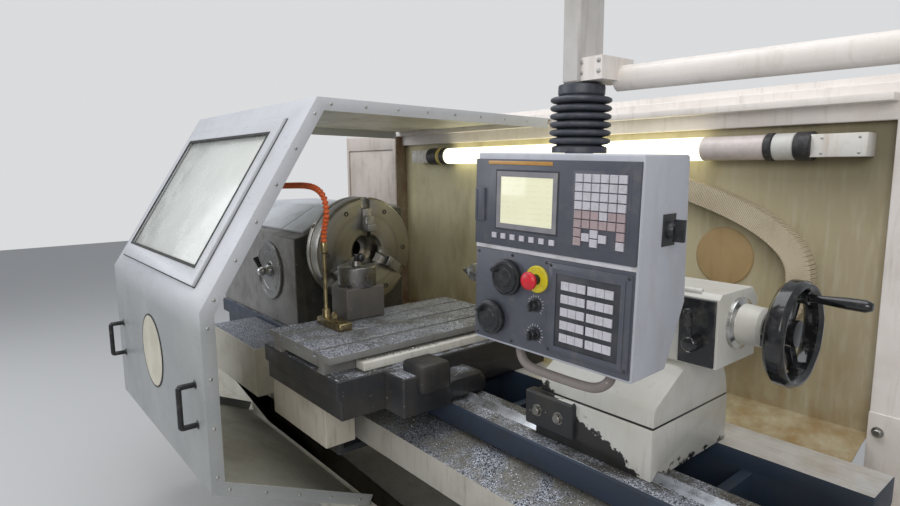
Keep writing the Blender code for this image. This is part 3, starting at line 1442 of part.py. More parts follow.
def pendant_frame():
    """Empty at the top left corner of the pendant's face, turned and tilted as the box hangs."""
    empty = bpy.data.objects.new("pendant_frame", None)
    empty.location = (PENDANT_X, PENDANT_Y, PENDANT_TOP)
    turn = Matrix.Rotation(PENDANT_YAW, 3, "Z") @ Matrix.Rotation(PENDANT_ROLL, 3, "Y")
    empty.rotation_euler = turn.to_euler()
    COLLECTION.objects.link(empty)
    bpy.context.view_layer.update()
    return empty


def key_block(low_x, top_z, counts, pitch, size, face):
    """Corners of the raised keys of one block. Counts, pitch and size each hold a value along X and one along Z."""
    keys = []
    for row in range(counts[1]):
        for column in range(counts[0]):
            x, z = low_x + column * pitch[0], top_z - row * pitch[1]
            keys.append(((x, face - KEY_PROUD, z - size[1]), (x + size[0], face + 0.002, z)))
    return keys


def make_pendant():
    """Pendant control box: folded housing, control unit with screen and keys, operator panel below."""
    parent = pendant_frame()
    width, height, depth = PENDANT_WIDTH, PENDANT_HEIGHT, PENDANT_DEPTH
    belly = depth + PENDANT_BELLY
    outline = [
        (0, 0),
        (0, -height),
        (depth - 0.045, -height),
        (belly, PENDANT_BELLY_Z),
        (depth, -0.004),
        (depth - 0.004, 0),
    ]
    housing = prism("pendant_housing", outline, 0, width, PENDANT_GREY, parent=parent)
    rounded(housing, 0.003)
    hub = [(0, HUB_HEIGHT), (HUB_RADIUS, HUB_HEIGHT), (HUB_RADIUS, -0.01), (0, -0.01)]
    join(housing, turned("pendant_hub", hub, (HUB_X, HUB_Y, 0), (0, 0, 1), None, 20, parent))

    face = -GAP
    unit_top = -0.014
    unit = box(
        "control_unit",
        (0.002, face - UNIT_PROUD, unit_top - UNIT_HEIGHT),
        (width - 0.002, face, unit_top),
        CONTROL_DARK,
        parent,
        0.002,
    )
    top_face = face - UNIT_PROUD
    bottom = top_face + 0.003
    cut(unit, box("screen_recess", (0.079, -0.2, -0.160), (0.231, bottom, -0.050), None, parent))
    box(
        "screen",
        (0.079 + GAP, top_face, -0.160 + GAP),
        (0.231 - GAP, bottom - GAP, -0.050 - GAP),
        SCREEN_GLASS,
        parent,
    )
    keys = key_block(0.286, -0.040, (6, 6), (0.0198, 0.0183), (0.0155, 0.0145), top_face)
    keys += key_block(0.306, -0.156, (4, 2), (0.0198, 0.0175), (0.0155, 0.0135), top_face)
    keys += key_block(0.059, -0.181, (7, 1), (0.0275, 0.02), (0.013, 0.012), top_face)
    for low, high in keys:
        join(unit, box("unit_key", low, high, None, parent))
    cover = box(
        "memory_cover", (0.004, top_face - 0.004, -0.157), (0.034, face - 0.001, -0.080), None, parent
    )
    join(unit, rounded(cover, 0.0015))

    panel_top = unit_top - UNIT_HEIGHT - 0.011
    panel_face = face - PANEL_THICKNESS
    panel = box(
        "operator_panel",
        (0.004, panel_face, -height + 0.008),
        (width - 0.004, face, panel_top),
        CONTROL_DARK,
        parent,
        0.001,
    )
    pad = box(
        "key_panel",
        (0.226, panel_face - 0.006, -height + 0.022),
        (width - 0.006, face - 0.001, panel_top - 0.007),
        None,
        parent,
    )
    join(panel, rounded(pad, 0.002))
    for start in (0.2625, 0.3279):
        for low, high in key_block(
            start, -0.2645, (3, 5), (0.0193, 0.028), (0.0155, 0.0175), panel_face - 0.006
        ):
            join(panel, box("panel_key", low, high, None, parent))
    make_pendant_controls(parent, panel, panel_face)

    drop = -height
    points = [
        (0.112, 0.04, drop - GAP),
        (0.112, 0.04, drop - 0.012),
        (0.118, 0.037, drop - 0.028),
        (0.135, 0.032, drop - 0.042),
    ]
    points += [
        (0.165, 0.03, drop - 0.049),
        (0.31, 0.03, drop - 0.049),
        (0.338, 0.032, drop - 0.042),
        (0.356, 0.037, drop - 0.028),
    ]
    points += [(0.362, 0.04, drop - 0.012), (0.362, 0.04, drop - GAP)]
    tube("pendant_handle", points, 0.011, MACHINE_GREY, parent=parent, sides=2)

    bore, neck, outer = HUB_RADIUS + 3 * GAP, BELLOWS_RADIUS * 0.76, BELLOWS_RADIUS
    low, high = GAP, HUB_HEIGHT
    pitch = (high - low - 0.042) / BELLOWS_FOLDS
    fold = [(bore, high), (neck - 0.004, high), (neck, high - 0.004), (neck, high - 0.024)]
    for k in range(BELLOWS_FOLDS):
        z = high - 0.024 - k * pitch
        fold += [(outer, z - pitch * 0.35), (outer, z - pitch * 0.65), (neck, z - pitch)]
    fold += [(outer * 0.9, low + 0.012), (outer * 0.9, low), (bore, low), (bore, high)]
    turned("pendant_bellows", fold, (HUB_X, HUB_Y, 0), (0, 0, 1), BLACK_RUBBER, 24, parent)
    return parent


def make_pendant_controls(parent, panel, face):
    """Hand pulse wheels, emergency stop, override knobs and the side switch, each on its own shaft."""
    seat = face - GAP
    for name, x, z, radius in (
        ("pulse_wheel_upper", 0.109, -0.280, 0.041), ("pulse_wheel_lower", 0.0625, -0.3825, 0.040)
    ):
        wheel = turned(
            name,
            [
                (0, 0.020),
                (radius * 0.78, 0.020),
                (radius * 0.84, 0.016),
                (radius, 0.014),
                (radius, 0.002),
                (radius - 0.003, 0),
                (0, 0),
            ],
            (x, seat, z),
            (0, -1, 0),
            BLACK_GLOSS,
            28,
            parent,
        )
        knob = cylinder_shape(
            0.007, (x - 0.014, seat - 0.014, z + 0.016), (x - 0.014, seat - 0.034, z + 0.016), 12
        )
        join(wheel, place(name + "_knob", knob, None, parent=parent))
    x, z = 0.193, -0.272
    ring = turned(
        "stop_ring",
        [(0, 0.006), (0.028, 0.006), (0.030, 0.004), (0.030, -0.003), (0, -0.003)],
        (x, face, z),
        (0, -1, 0),
        None,
        24,
        parent,
    )
    join(panel, ring)
    hole = cylinder_shape(0.01145, (x, face + STOP_TRAVEL, z), (x, face - 0.02, z), 20)
    cut(panel, place("stop_hole", hole, None, parent=parent))
    travel = STOP_TRAVEL + 0.006
    turned(
        "stop_button",
        [
            (0, 0.030 + travel),
            (0.012, 0.029 + travel),
            (0.020, 0.024 + travel),
            (0.020, 0.018 + travel),
            (0.011, 0.012 + travel),
            (0.011, 0.003),
            (0, 0.003),
        ],
        (x, face - GAP, z),
        (0, -1, 0),
        RED_PLASTIC,
        20,
        parent,
    )
    for name, z in (("feed_knob", -0.331), ("speed_knob", -0.397)):
        knob = turned(
            name,
            [(0, 0.018), (0.010, 0.018), (0.012, 0.004), (0.015, 0.002), (0.015, 0), (0, 0)],
            (0.190, seat, z),
            (0, -1, 0),
            BLACK_GLOSS,
            20,
            parent,
        )
        join(
            knob,
            box(
                name + "_bar",
                (0.187, seat - 0.024, z - 0.011),
                (0.193, seat - 0.014, z + 0.011),
                None,
                parent,
            ),
        )
    side_x, side_y, side_z = PENDANT_WIDTH + GAP, 0.105, -0.148
    switch = turned(
        "side_switch",
        [(0, 0.016), (0.013, 0.016), (0.016, 0.010), (0.018, 0), (0, 0)],
        (side_x, side_y, side_z),
        (1, 0, 0),
        BLACK_GLOSS,
        20,
        parent,
    )
    join(
        switch,
        box(
            "side_switch_bar",
            (side_x + 0.012, side_y - 0.005, side_z - 0.022),
            (side_x + 0.034, side_y + 0.005, side_z + 0.022),
            None,
            parent,
        ),
    )


def make_pendant_arm(pendant):
    """Mast above the pendant with the round arm that turns on a column at the machine's right end."""
    half_x, half_y = MAST_WIDTH / 2, MAST_DEPTH / 2
    hub_top = pendant.matrix_world @ Vector((HUB_X, HUB_Y, HUB_HEIGHT))
    bottom = hub_top.z + GAP + HUB_RADIUS * math.sin(PENDANT_ROLL)
    low = (MAST_X - half_x, MAST_Y - half_y, bottom)
    arm = box("pendant_arm", low, (MAST_X + half_x, MAST_Y + half_y, MAST_TOP), FRAME_PAINT, edge=0.004)
    flange = (MAST_X + ARM_START_X + 0.015, MAST_Y + ARM_START_Y + 0.032, ARM_Z + 0.04)
    join(arm, box("mast_flange", (MAST_X + half_x - 0.01, MAST_Y - 0.035, bottom + 0.002), flange, None))
    start = Vector((MAST_X + ARM_START_X, MAST_Y + ARM_START_Y, ARM_Z))
    column = Vector((COLUMN_X, COLUMN_Y, ARM_Z))
    join(arm, cylinder("round_arm", ARM_RADIUS, start, column, None, 24))
    hub_half = ARM_RADIUS + 0.022
    hub_low, hub_high = (COLUMN_X, COLUMN_Y, ARM_Z - hub_half), (COLUMN_X, COLUMN_Y, ARM_Z + hub_half)
    join(arm, cylinder("arm_hub", COLUMN_RADIUS + 0.022, hub_low, hub_high, None, 32))
    neck = COLUMN_RADIUS * 0.8
    bore = ((COLUMN_X, COLUMN_Y, ARM_Z - 0.2), (COLUMN_X, COLUMN_Y, ARM_Z + 0.2))
    cut(arm, cylinder("arm_bore", neck + GAP, *bore, None, 28))
    foot = BASE_HEIGHT + GAP
    shoulder = ARM_Z - hub_half - GAP - foot
    top = shoulder + 2 * hub_half + 0.03
    wide = COLUMN_RADIUS + COLUMN_FOOT
    turned(
        "pendant_column",
        [
            (0, top),
            (neck, top),
            (neck, shoulder),
            (COLUMN_RADIUS, shoulder),
            (COLUMN_RADIUS, 0.02),
            (wide, 0.02),
            (wide, 0),
            (0, 0),
        ],
        (COLUMN_X, COLUMN_Y, foot),
        (0, 0, 1),
        FRAME_PAINT,
        28,
    )


clear_scene()
make_base()
bed = make_bed()
make_covers()
make_ball_screw(bed)
make_headstock()
make_gear_dial()
make_spindle()
make_carriage()
make_apron()
make_cross_slide()
make_tailstock()
make_clamp_lever()
make_rear_frame()
make_guard()
pendant = make_pendant()
make_pendant_arm(pendant)
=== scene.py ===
"""Dresses the CNC turning lathe for rendering.

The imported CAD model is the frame. Each section below finishes one piece of the machine, in metres and in
the frame's own axes: X from the headstock to the tailstock, Y from the operator to the splash wall, Z up.
"""

import json
import math
import random

import bpy
from mathutils import Matrix, Vector, noise

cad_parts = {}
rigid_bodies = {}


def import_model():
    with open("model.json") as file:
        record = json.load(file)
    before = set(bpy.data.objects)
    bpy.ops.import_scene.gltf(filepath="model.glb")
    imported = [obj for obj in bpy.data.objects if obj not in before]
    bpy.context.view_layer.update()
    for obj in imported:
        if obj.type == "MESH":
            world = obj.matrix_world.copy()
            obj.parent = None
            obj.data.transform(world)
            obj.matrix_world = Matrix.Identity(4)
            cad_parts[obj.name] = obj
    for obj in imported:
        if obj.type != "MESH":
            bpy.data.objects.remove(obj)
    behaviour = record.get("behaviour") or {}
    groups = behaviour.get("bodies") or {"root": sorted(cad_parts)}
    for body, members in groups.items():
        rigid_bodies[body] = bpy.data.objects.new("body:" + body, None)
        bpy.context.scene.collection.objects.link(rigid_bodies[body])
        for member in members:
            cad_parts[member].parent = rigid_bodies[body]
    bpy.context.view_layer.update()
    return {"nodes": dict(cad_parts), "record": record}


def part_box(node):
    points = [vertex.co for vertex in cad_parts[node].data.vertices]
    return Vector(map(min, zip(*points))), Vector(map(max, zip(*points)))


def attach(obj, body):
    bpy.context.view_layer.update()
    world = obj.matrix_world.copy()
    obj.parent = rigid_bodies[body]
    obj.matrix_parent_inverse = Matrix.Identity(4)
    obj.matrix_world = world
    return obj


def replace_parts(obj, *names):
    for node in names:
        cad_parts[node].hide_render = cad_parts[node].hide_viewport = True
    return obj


bpy.ops.object.select_all(action="SELECT")
bpy.ops.object.delete()
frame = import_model()

# Camera: the photograph was taken with a wide phone lens from beyond the tailstock, looking down the bed
# towards the headstock. Its rows of right, up and forward were fitted to the machine's straight edges.
lens = bpy.data.cameras.new("camera")
lens.lens, lens.sensor_width = 24, 36
lens.clip_start, lens.clip_end = 0.05, 60


def new_object(name, data):
    """A new object with this data, in the scene."""
    made = bpy.data.objects.new(name, data)
    bpy.context.scene.collection.objects.link(made)
    return made


camera = new_object("camera", lens)
right = Vector((0.6382726806644582, 0.7697711162644487, -0.007772623906457414))
upward = Vector((-0.10555329062299636, 0.09751435323557237, 0.9896208636400636))
forward = Vector((-0.7625394992759811, 0.630827535446918, -0.14349262199117932))
turn = Matrix((right, upward, -forward)).transposed()
camera.matrix_world = Matrix.Translation((1.95, -1.47, 1.50)) @ turn.to_4x4()
bpy.context.scene.camera = camera
bpy.context.scene.view_settings.view_transform = "Standard"

# Studio: a pale floor and a pale sky that lights every side, with three large soft lamps. The brightest
# hangs above, as the hall's roof light does in the photograph.
world = bpy.data.worlds.new("studio_sky")
bpy.context.scene.world = world
world.use_nodes = True
sky_nodes, sky_links = world.node_tree.nodes, world.node_tree.links
sky_light = sky_nodes["Background"]
sky_light.inputs["Color"].default_value = (0.90, 0.94, 1.0, 1.0)
sky_light.inputs["Strength"].default_value = 0.42
sky_seen = sky_nodes.new("ShaderNodeBackground")
sky_seen.inputs["Color"].default_value = (0.70, 0.71, 0.72, 1.0)
ray = sky_nodes.new("ShaderNodeLightPath")
seen = sky_nodes.new("ShaderNodeMath")
seen.operation = "MAXIMUM"
sky_links.new(ray.outputs["Is Camera Ray"], seen.inputs[0])
sky_links.new(ray.outputs["Is Transmission Ray"], seen.inputs[1])
sky_mix = sky_nodes.new("ShaderNodeMixShader")
sky_links.new(seen.outputs[0], sky_mix.inputs["Fac"])
sky_links.new(sky_light.outputs[0], sky_mix.inputs[1])
sky_links.new(sky_seen.outputs[0], sky_mix.inputs[2])
sky_links.new(sky_mix.outputs[0], sky_nodes["World Output"].inputs["Surface"])


def studio_lamp(name, place, target, size, power, colour):
    lamp = new_object(name, bpy.data.lights.new(name, "AREA"))
    lamp.data.shape = "RECTANGLE"
    lamp.data.size, lamp.data.size_y = size
    lamp.data.energy, lamp.data.color = power, colour
    lamp.location = place
    lamp.rotation_euler = (Vector(target) - Vector(place)).to_track_quat("-Z", "Y").to_euler()


studio_lamp("roof_light", (0.2, -0.6, 4.3), (0.2, -0.3, 0.8), (4.5, 3.0), 95, (0.97, 0.98, 1.0))
studio_lamp("hall_light", (3.6, -3.4, 2.9), (0.4, -0.2, 1.0), (2.6, 2.2), 70, (1.0, 0.97, 0.93))
studio_lamp("door_light", (-3.2, -3.6, 2.6), (-0.4, -0.4, 1.0), (3.0, 2.4), 60, (0.93, 0.96, 1.0))

bpy.ops.mesh.primitive_plane_add(size=24, location=(0, 0, -0.001))
floor = bpy.context.object
floor.name = "studio_floor"
floor_finish = bpy.data.materials.new("floor_finish")
floor_finish.use_nodes = True
floor_finish.node_tree.nodes["Principled BSDF"].inputs["Base Color"].default_value = (0.56, 0.56, 0.56, 1.0)
floor_finish.node_tree.nodes["Principled BSDF"].inputs["Roughness"].default_value = 0.7
floor.data.materials.append(floor_finish)

# Base: the welded steel base under the bed, painted cream, with its chip tray and the rail for the guard's
# pan. Paint is knocked off along the lower edges, and oil has run down the front.
BODY_OF = {node: body for body, nodes in frame["record"]["behaviour"]["bodies"].items() for node in nodes}


def feed(material, socket, value):
    """Links a socket to another one, or sets its value."""
    if isinstance(value, bpy.types.NodeSocket):
        material.node_tree.links.new(value, socket)
    elif socket.type == "RGBA" and len(value) == 3:
        socket.default_value = (*value, 1.0)
    else:
        socket.default_value = value


def put(material, name, value):
    """Feeds an input of the material's shader."""
    feed(material, material.node_tree.nodes["Principled BSDF"].inputs[name], value)


def shading(name, roughness=0.5, metallic=0.0):
    """A new material."""
    material = bpy.data.materials.new(name)
    material.use_nodes = True
    put(material, "Roughness", roughness)
    put(material, "Metallic", metallic)
    return material


def add_node(material, kind, inputs=None, **settings):
    made = material.node_tree.nodes.new("ShaderNode" + kind)
    for key, value in settings.items():
        setattr(made, key, value)
    for key, value in (inputs or {}).items():
        feed(material, made.inputs[key], value)
    return made


def object_place(material, stretch=(1, 1, 1)):
    """Object coordinates, drawn out along an axis where its stretch is below 1."""
    place = add_node(material, "TexCoord").outputs["Object"]
    if tuple(stretch) != (1, 1, 1):
        place = add_node(material, "Mapping", {"Vector": place, "Scale": stretch}).outputs["Vector"]
    return place


def span(material, value, low, high, to_low=0.0, to_high=1.0):
    """Carries a value from one range to another."""
    ends = {"Value": value, "From Min": low, "From Max": high, "To Min": to_low, "To Max": to_high}
    return add_node(material, "MapRange", ends).outputs["Result"]


def patches(material, size, low, high, stretch=(1, 1, 1), detail=5.0):
    """Soft patches of about this size in metres: 0 where the noise is below low, 1 above high."""
    inputs = {
        "Vector": object_place(material, stretch), "Scale": 1 / size, "Detail": detail, "Roughness": 0.6
    }
    return span(material, add_node(material, "TexNoise", inputs).outputs["Fac"], low, high)


def along(material, axis, low, high):
    """0 to 1 between two places on an axis."""
    parts = add_node(material, "SeparateXYZ", {"Vector": object_place(material)})
    return span(material, parts.outputs[axis], low, high)


def combined(material, operation, first, second):
    return add_node(material, "Math", {0: first, 1: second}, operation=operation).outputs[0]


def product(material, first, second):
    return combined(material, "MULTIPLY", first, second)


def mixed(material, mask, first, second):
    return add_node(material, "MixRGB", {"Fac": mask, "Color1": first, "Color2": second}).outputs["Color"]


def raised(material, height, distance):
    """A bump's normal from a height between 0 and 1, this many metres high."""
    return add_node(material, "Bump", {"Height": height, "Distance": distance}).outputs["Normal"]


def layered(material, tone, *layers):
    """A colour with others over it in soft patches, each given as its colour, its share and what patches takes."""
    for colour, share, *spots in layers:
        tone = mixed(material, product(material, patches(material, *spots), share), tone, colour)
    return tone


def finish(name, ground, *layers, rough=0.5, metallic=0.0, dull=None, bump=None):
    """A new material in layers. dull is a patch's size, low and high and two roughnesses, bump is the size,
    detail and height of a fine bump."""
    material = shading(name, rough, metallic)
    put(material, "Base Color", layered(material, ground, *layers))
    if dull:
        size, low, high, *ends = dull
        put(material, "Roughness", span(material, patches(material, size, low, high), 0, 1, *ends))
    if bump:
        size, detail, height = bump
        put(material, "Normal", raised(material, patches(material, size, 0.3, 0.7, detail=detail), height))
    return material


def worn_paint(
    name,
    colour,
    dirt=(0.19, 0.16, 0.11),
    dirty=0.45,
    streaks=0.25,
    chips=0.62,
    under=(0.05, 0.05, 0.05),
    rough=0.42,
):
    """Workshop paint: uneven colour, oily patches, runs down the side and chips to the primer."""
    return finish(
        name,
        colour,
        (tuple(min(1.0, 1.07 * c) for c in colour), 1, 0.5, 0.35, 0.65),
        (dirt, dirty, 0.16, 0.46, 0.78),
        (dirt, streaks, 0.022, 0.54, 0.80, (1, 1, 0.12)),
        (under, 1, 0.012, chips + 0.10, chips + 0.125, (1, 1, 1), 7.0),
        dull=(0.08, 0.3, 0.75, rough, rough + 0.22),
        bump=(0.004, 2.0, 0.00012),
    )


def alone(piece):
    """Makes this the only piece selected, and the active one."""
    bpy.ops.object.select_all(action="DESELECT")
    piece.select_set(True)
    bpy.context.view_layer.objects.active = piece
    return piece


def softened(piece, width, segments=2, **settings):
    """Bevels the edges of the active piece."""
    bevel = piece.modifiers.new("soft_edges", "BEVEL")
    bevel.width, bevel.segments = width, segments
    for key, value in settings.items():
        setattr(bevel, key, value)
    bpy.ops.object.modifier_apply(modifier=bevel.name)


def coat(piece, material, node, body=None):
    """The piece's finish, and the body of the CAD node it goes with, or another body."""
    piece.data.materials.clear()
    piece.data.materials.append(material)
    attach(piece, body or BODY_OF[node])
    return piece


def stand_in(piece, material, node):
    """Coats a piece that stands for its CAD node."""
    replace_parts(coat(piece, material, node), node)
    return piece


def reworked(node, material, edge=0.002, angle=35, rounds=2):
    """A cleaned copy of a CAD node with softened edges, which stands for it."""
    piece = alone(new_object(node + "_finished", frame["nodes"][node].data.copy()))
    bpy.ops.mesh.customdata_custom_splitnormals_clear()
    bpy.ops.object.mode_set(mode="EDIT")
    bpy.ops.mesh.select_all(action="SELECT")
    bpy.ops.mesh.remove_doubles(threshold=0.00002)
    bpy.ops.mesh.dissolve_limited(angle_limit=math.radians(0.8))
    bpy.ops.object.mode_set(mode="OBJECT")
    if edge:
        limit = {"limit_method": "ANGLE", "angle_limit": math.radians(38), "use_clamp_overlap": True}
        softened(piece, edge, rounds, **limit)
    bpy.ops.object.shade_smooth_by_angle(angle=math.radians(angle))
    return stand_in(piece, material, node)


base_paint = worn_paint("base_paint", (0.50, 0.48, 0.41), dirty=0.42, streaks=0.45)
reworked("base", base_paint, 0.003)

# Bed: one long casting of grey iron with two ground ways. The ways are bare and oily, scratched along their
# length by chips, and the walls below them are painted dark blue under old oil.
BED_TOP = 0.7353
WAYS_LEFT = -0.62


def repaint(piece, material, wanted):
    """Gives the faces that wanted(centre, normal) keeps a second finish."""
    piece.data.materials.append(material)
    last = len(piece.data.materials) - 1
    for face in piece.data.polygons:
        if wanted(face.center, face.normal):
            face.material_index = last


def ground_metal(name, colour, rough, lines, oil=(0.10, 0.09, 0.07), oily=0.5, metallic=0.95):
    """Bare machined metal: fine tool lines one way, dull patches and brown oil."""
    material = shading(name, rough, metallic)
    scratch = patches(material, 0.006, 0.35, 0.65, lines, 3.0)
    tone = mixed(material, product(material, scratch, 0.35), colour, tuple(0.6 * c for c in colour))
    film = product(material, patches(material, 0.12, 0.45, 0.72), oily)
    tone = mixed(material, film, tone, oil)
    put(material, "Base Color", tone)
    dull = span(material, patches(material, 0.05, 0.35, 0.7), 0, 1, rough * 0.8, rough + 0.2)
    put(material, "Roughness", dull)
    put(material, "Normal", raised(material, scratch, 0.00006))
    return material


bed_sides = worn_paint(
    "bed_sides", (0.022, 0.036, 0.062), dirt=(0.03, 0.028, 0.025), dirty=0.6, streaks=0.4, rough=0.4
)
way_steel = ground_metal("way_steel", (0.38, 0.40, 0.43), 0.24, (0.02, 1, 1), oily=0.6)
# Painted sheen: the rear way is the same ground steel as the front one, painted pale and barely metallic to stand
# in for the light it catches. Its brown marks are oil.
rear_way_sheen = ground_metal(
    "rear_way_sheen", (0.62, 0.60, 0.56), 0.36, (0.02, 1, 1), oil=(0.34, 0.24, 0.14), oily=0.55, metallic=0.3
)


def chip_layer(name, ground, cover, metallic=0.0):
    """A surface with a layer of fine bright chips on it: cover is how much of it they hide, from 0 to 1."""
    material = shading(name)
    cells = add_node(
        material, "TexVoronoi", {"Vector": object_place(material, (1, 0.7, 1)), "Scale": 430.0}
    )
    chance = add_node(material, "SeparateColor", {"Color": cells.outputs["Color"]}).outputs
    grey = chance["Red"]
    chips = mixed(material, span(material, grey, 0.25, 0.45), (0.045, 0.045, 0.05), (0.30, 0.32, 0.37))
    chips = mixed(material, span(material, grey, 0.62, 0.80), chips, (0.66, 0.69, 0.76))
    heaps = patches(material, 0.12, 0.62 - 0.36 * cover, 0.74 - 0.36 * cover, (1, 1, 1), 8.0)
    loose = product(material, span(material, chance["Green"], 0.80, 0.84), 0.8)
    layer = combined(material, "MAXIMUM", heaps, loose)
    tone = mixed(material, patches(material, 0.09, 0.4, 0.7), ground, tuple(0.6 * c for c in ground))
    put(material, "Base Color", mixed(material, layer, tone, chips))
    put(material, "Metallic", span(material, layer, 0, 1, metallic, 0.55))
    put(material, "Roughness", span(material, grey, 0, 1, 0.28, 0.55))
    far = span(material, cells.outputs["Distance"], 0.0, 0.6, 1.0, 0.0)
    put(material, "Normal", raised(material, product(material, far, layer), 0.0011))
    return material


way_chips = chip_layer("way_chips", (0.13, 0.125, 0.11), 0.50, 0.6)
bed = reworked("bed", bed_sides, 0.0015)
bpy.ops.object.mode_set(mode="EDIT")
bpy.ops.mesh.select_all(action="SELECT")
bpy.ops.mesh.bisect(plane_co=(0, 0, 0), plane_no=(0, 1, 0))
bpy.ops.object.mode_set(mode="OBJECT")
repaint(bed, way_steel, lambda c, n: n.z > 0.4 and c.z > BED_TOP - 0.002 and c.x > WAYS_LEFT)
repaint(bed, rear_way_sheen, lambda c, n: n.z > 0.4 and c.z > BED_TOP - 0.002 and c.y > 0 and c.x > WAYS_LEFT)
repaint(bed, way_chips, lambda c, n: n.z > 0.9 and c.z > BED_TOP - 0.002 and c.x > WAYS_LEFT and c.y < 0)

# Covers along the bed's front: a high box over the feed drive at the left and a long bent sheet over the
# ball screw, both painted cream. The long sheet is the dirtiest: chips and coolant slide down it.
cover_paint = worn_paint("cover_paint", (0.42, 0.40, 0.35), dirty=0.6, streaks=0.7, chips=0.64)
cover_chips = chip_layer("cover_chips", (0.22, 0.21, 0.18), 0.52)
screw_cover = reworked("screw_cover", cover_paint, 0.001)
repaint(screw_cover, cover_chips, lambda c, n: n.z > 0.7)
feed_box = reworked(
    "feed_box_cover", worn_paint("feed_box_paint", (0.50, 0.47, 0.39), dirty=0.45, streaks=0.4), 0.003
)
repaint(feed_box, chip_layer("box_chips", (0.42, 0.42, 0.40), 0.80), lambda c, n: n.z > 0.9)
reworked(
    "apron_cover",
    worn_paint("apron_paint", (0.46, 0.42, 0.35), dirty=0.55, streaks=0.75, chips=0.60),
    0.002,
)
dark_parts = worn_paint(
    "dark_parts",
    (0.035, 0.037, 0.042),
    dirt=(0.10, 0.085, 0.06),
    dirty=0.4,
    streaks=0.2,
    under=(0.3, 0.3, 0.3),
    chips=0.66,
)
for node, edge in (("nut_bracket", 0.002), ("z_servo_motor", 0.002), ("x_servo_motor", 0.004)):
    reworked(node, dark_parts, edge)
reworked("ball_screw", way_steel, 0.0)

# Headstock: a big iron box painted dark grey and greasy all over, with two pale lid panels on its sloped
# top. Every edge that hands and tools touch is worn down to a dull shine.
head_paint = worn_paint(
    "head_paint",
    (0.235, 0.225, 0.215),
    dirt=(0.06, 0.052, 0.04),
    dirty=0.8,
    streaks=0.6,
    under=(0.36, 0.35, 0.33),
    chips=0.58,
    rough=0.34,
)
head = reworked("headstock", head_paint, 0.004)
oily_side = worn_paint(
    "oily_side",
    (0.055, 0.055, 0.052),
    dirt=(0.16, 0.15, 0.10),
    dirty=0.7,
    streaks=0.5,
    under=(0.30, 0.30, 0.24),
    chips=0.55,
    rough=0.3,
)
repaint(head, oily_side, lambda c, n: n.x > 0.8)
lid_paint = worn_paint(
    "lid_paint", (0.56, 0.58, 0.61), dirt=(0.20, 0.19, 0.17), dirty=0.45, streaks=0.2, chips=0.6
)
reworked("headstock_lid", lid_paint, 0.0015)

# Speed range dial: a steel disc with a bright raised rim and engraved marks, screwed to the headstock's
# front. A ball lever turns in its middle and clicks into each range.
dial_low, dial_high = (Vector(corner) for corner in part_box("range_dial"))
DIAL_X, DIAL_Z = (dial_low.x + dial_high.x) / 2, (dial_low.z + dial_high.z) / 2
DIAL_RADIUS = (dial_high.x - dial_low.x) / 2


def held(name):
    """The object that an operator has just made, named."""
    piece = bpy.context.object
    piece.name = name
    piece.data.name = name
    return piece


def pick(piece, wanted):
    """Edit mode on a piece, with the faces that wanted(centre, normal) keeps selected."""
    bpy.ops.object.mode_set(mode="OBJECT")
    bpy.context.tool_settings.mesh_select_mode = (False, False, True)
    for part in (*piece.data.vertices, *piece.data.edges):
        part.select = False
    for face in piece.data.polygons:
        face.select = wanted(face.center, face.normal)
    bpy.ops.object.mode_set(mode="EDIT")


def apply_place(piece, placed=None):
    """Leaves the piece at the origin with its place in its mesh."""
    bpy.ops.object.mode_set(mode="OBJECT")
    alone(piece)
    bpy.ops.object.transform_apply(location=True, rotation=True, scale=True)
    if placed is not None:
        piece.matrix_world = placed
        bpy.ops.object.transform_apply(location=True, rotation=True, scale=True)
    return piece


def spun(name, profile, origin, axis, steps=96, placed=None):
    """A turned piece: its half section, as (radius, distance along the axis), spun round the axis."""
    mesh = bpy.data.meshes.new(name)
    joined = [(k, k + 1) for k in range(len(profile) - 1)]
    mesh.from_pydata([(radius, 0, height) for radius, height in profile], joined, [])
    piece = alone(new_object(name, mesh))
    bpy.ops.object.mode_set(mode="EDIT")
    bpy.ops.mesh.select_all(action="SELECT")
    bpy.ops.mesh.spin(steps=steps, angle=math.tau, center=(0, 0, 0), axis=(0, 0, 1))
    bpy.ops.mesh.select_all(action="SELECT")
    bpy.ops.mesh.remove_doubles(threshold=0.00002)
    bpy.ops.mesh.normals_make_consistent(inside=False)
    bpy.ops.object.mode_set(mode="OBJECT")
    piece.matrix_world = Matrix.Translation(origin) @ Vector(axis).to_track_quat("Z", "Y").to_matrix().to_4x4()
    apply_place(piece, placed)
    bpy.ops.object.shade_smooth_by_angle(angle=math.radians(30))
    return piece


def fuse(name, pieces):
    """Joins loose pieces into one object."""
    bpy.ops.object.select_all(action="DESELECT")
    for piece in pieces:
        piece.select_set(True)
    bpy.context.view_layer.objects.active = pieces[0]
    bpy.ops.object.join()
    return held(name)


r = DIAL_RADIUS
rim = [
    (0, 0),
    (r, 0),
    (r, 0.010),
    (r - 0.003, 0.014),
    (r - 0.016, 0.014),
    (r - 0.020, 0.009),
    (r - 0.046, 0.008),
    (r - 0.048, 0.0065),
    (0.05, 0.0065),
    (0.047, 0.009),
    (0, 0.009),
]
dial = spun("range_dial_disc", rim[::-1], (DIAL_X, dial_high.y, DIAL_Z), (0, -1, 0))
marks = []
for k in range(24):
    angle = math.tau * k / 24
    reach = 0.012 if k % 3 else 0.020
    bpy.ops.mesh.primitive_cube_add(size=1, location=(0, 0, r - 0.034), scale=(0.0022, 0.0012, reach))
    mark = held("dial_mark")
    pick(mark, lambda c, n: n.y < -0.5)
    bpy.ops.mesh.inset(thickness=0.0003)
    apply_place(
        mark, Matrix.Translation((DIAL_X, dial_high.y - 0.0082, DIAL_Z)) @ Matrix.Rotation(angle, 4, "Y")
    )
    marks.append(mark)
dial_steel = ground_metal("dial_steel", (0.36, 0.35, 0.34), 0.30, (1, 1, 1), oily=0.6)
stand_in(dial, dial_steel, "range_dial")


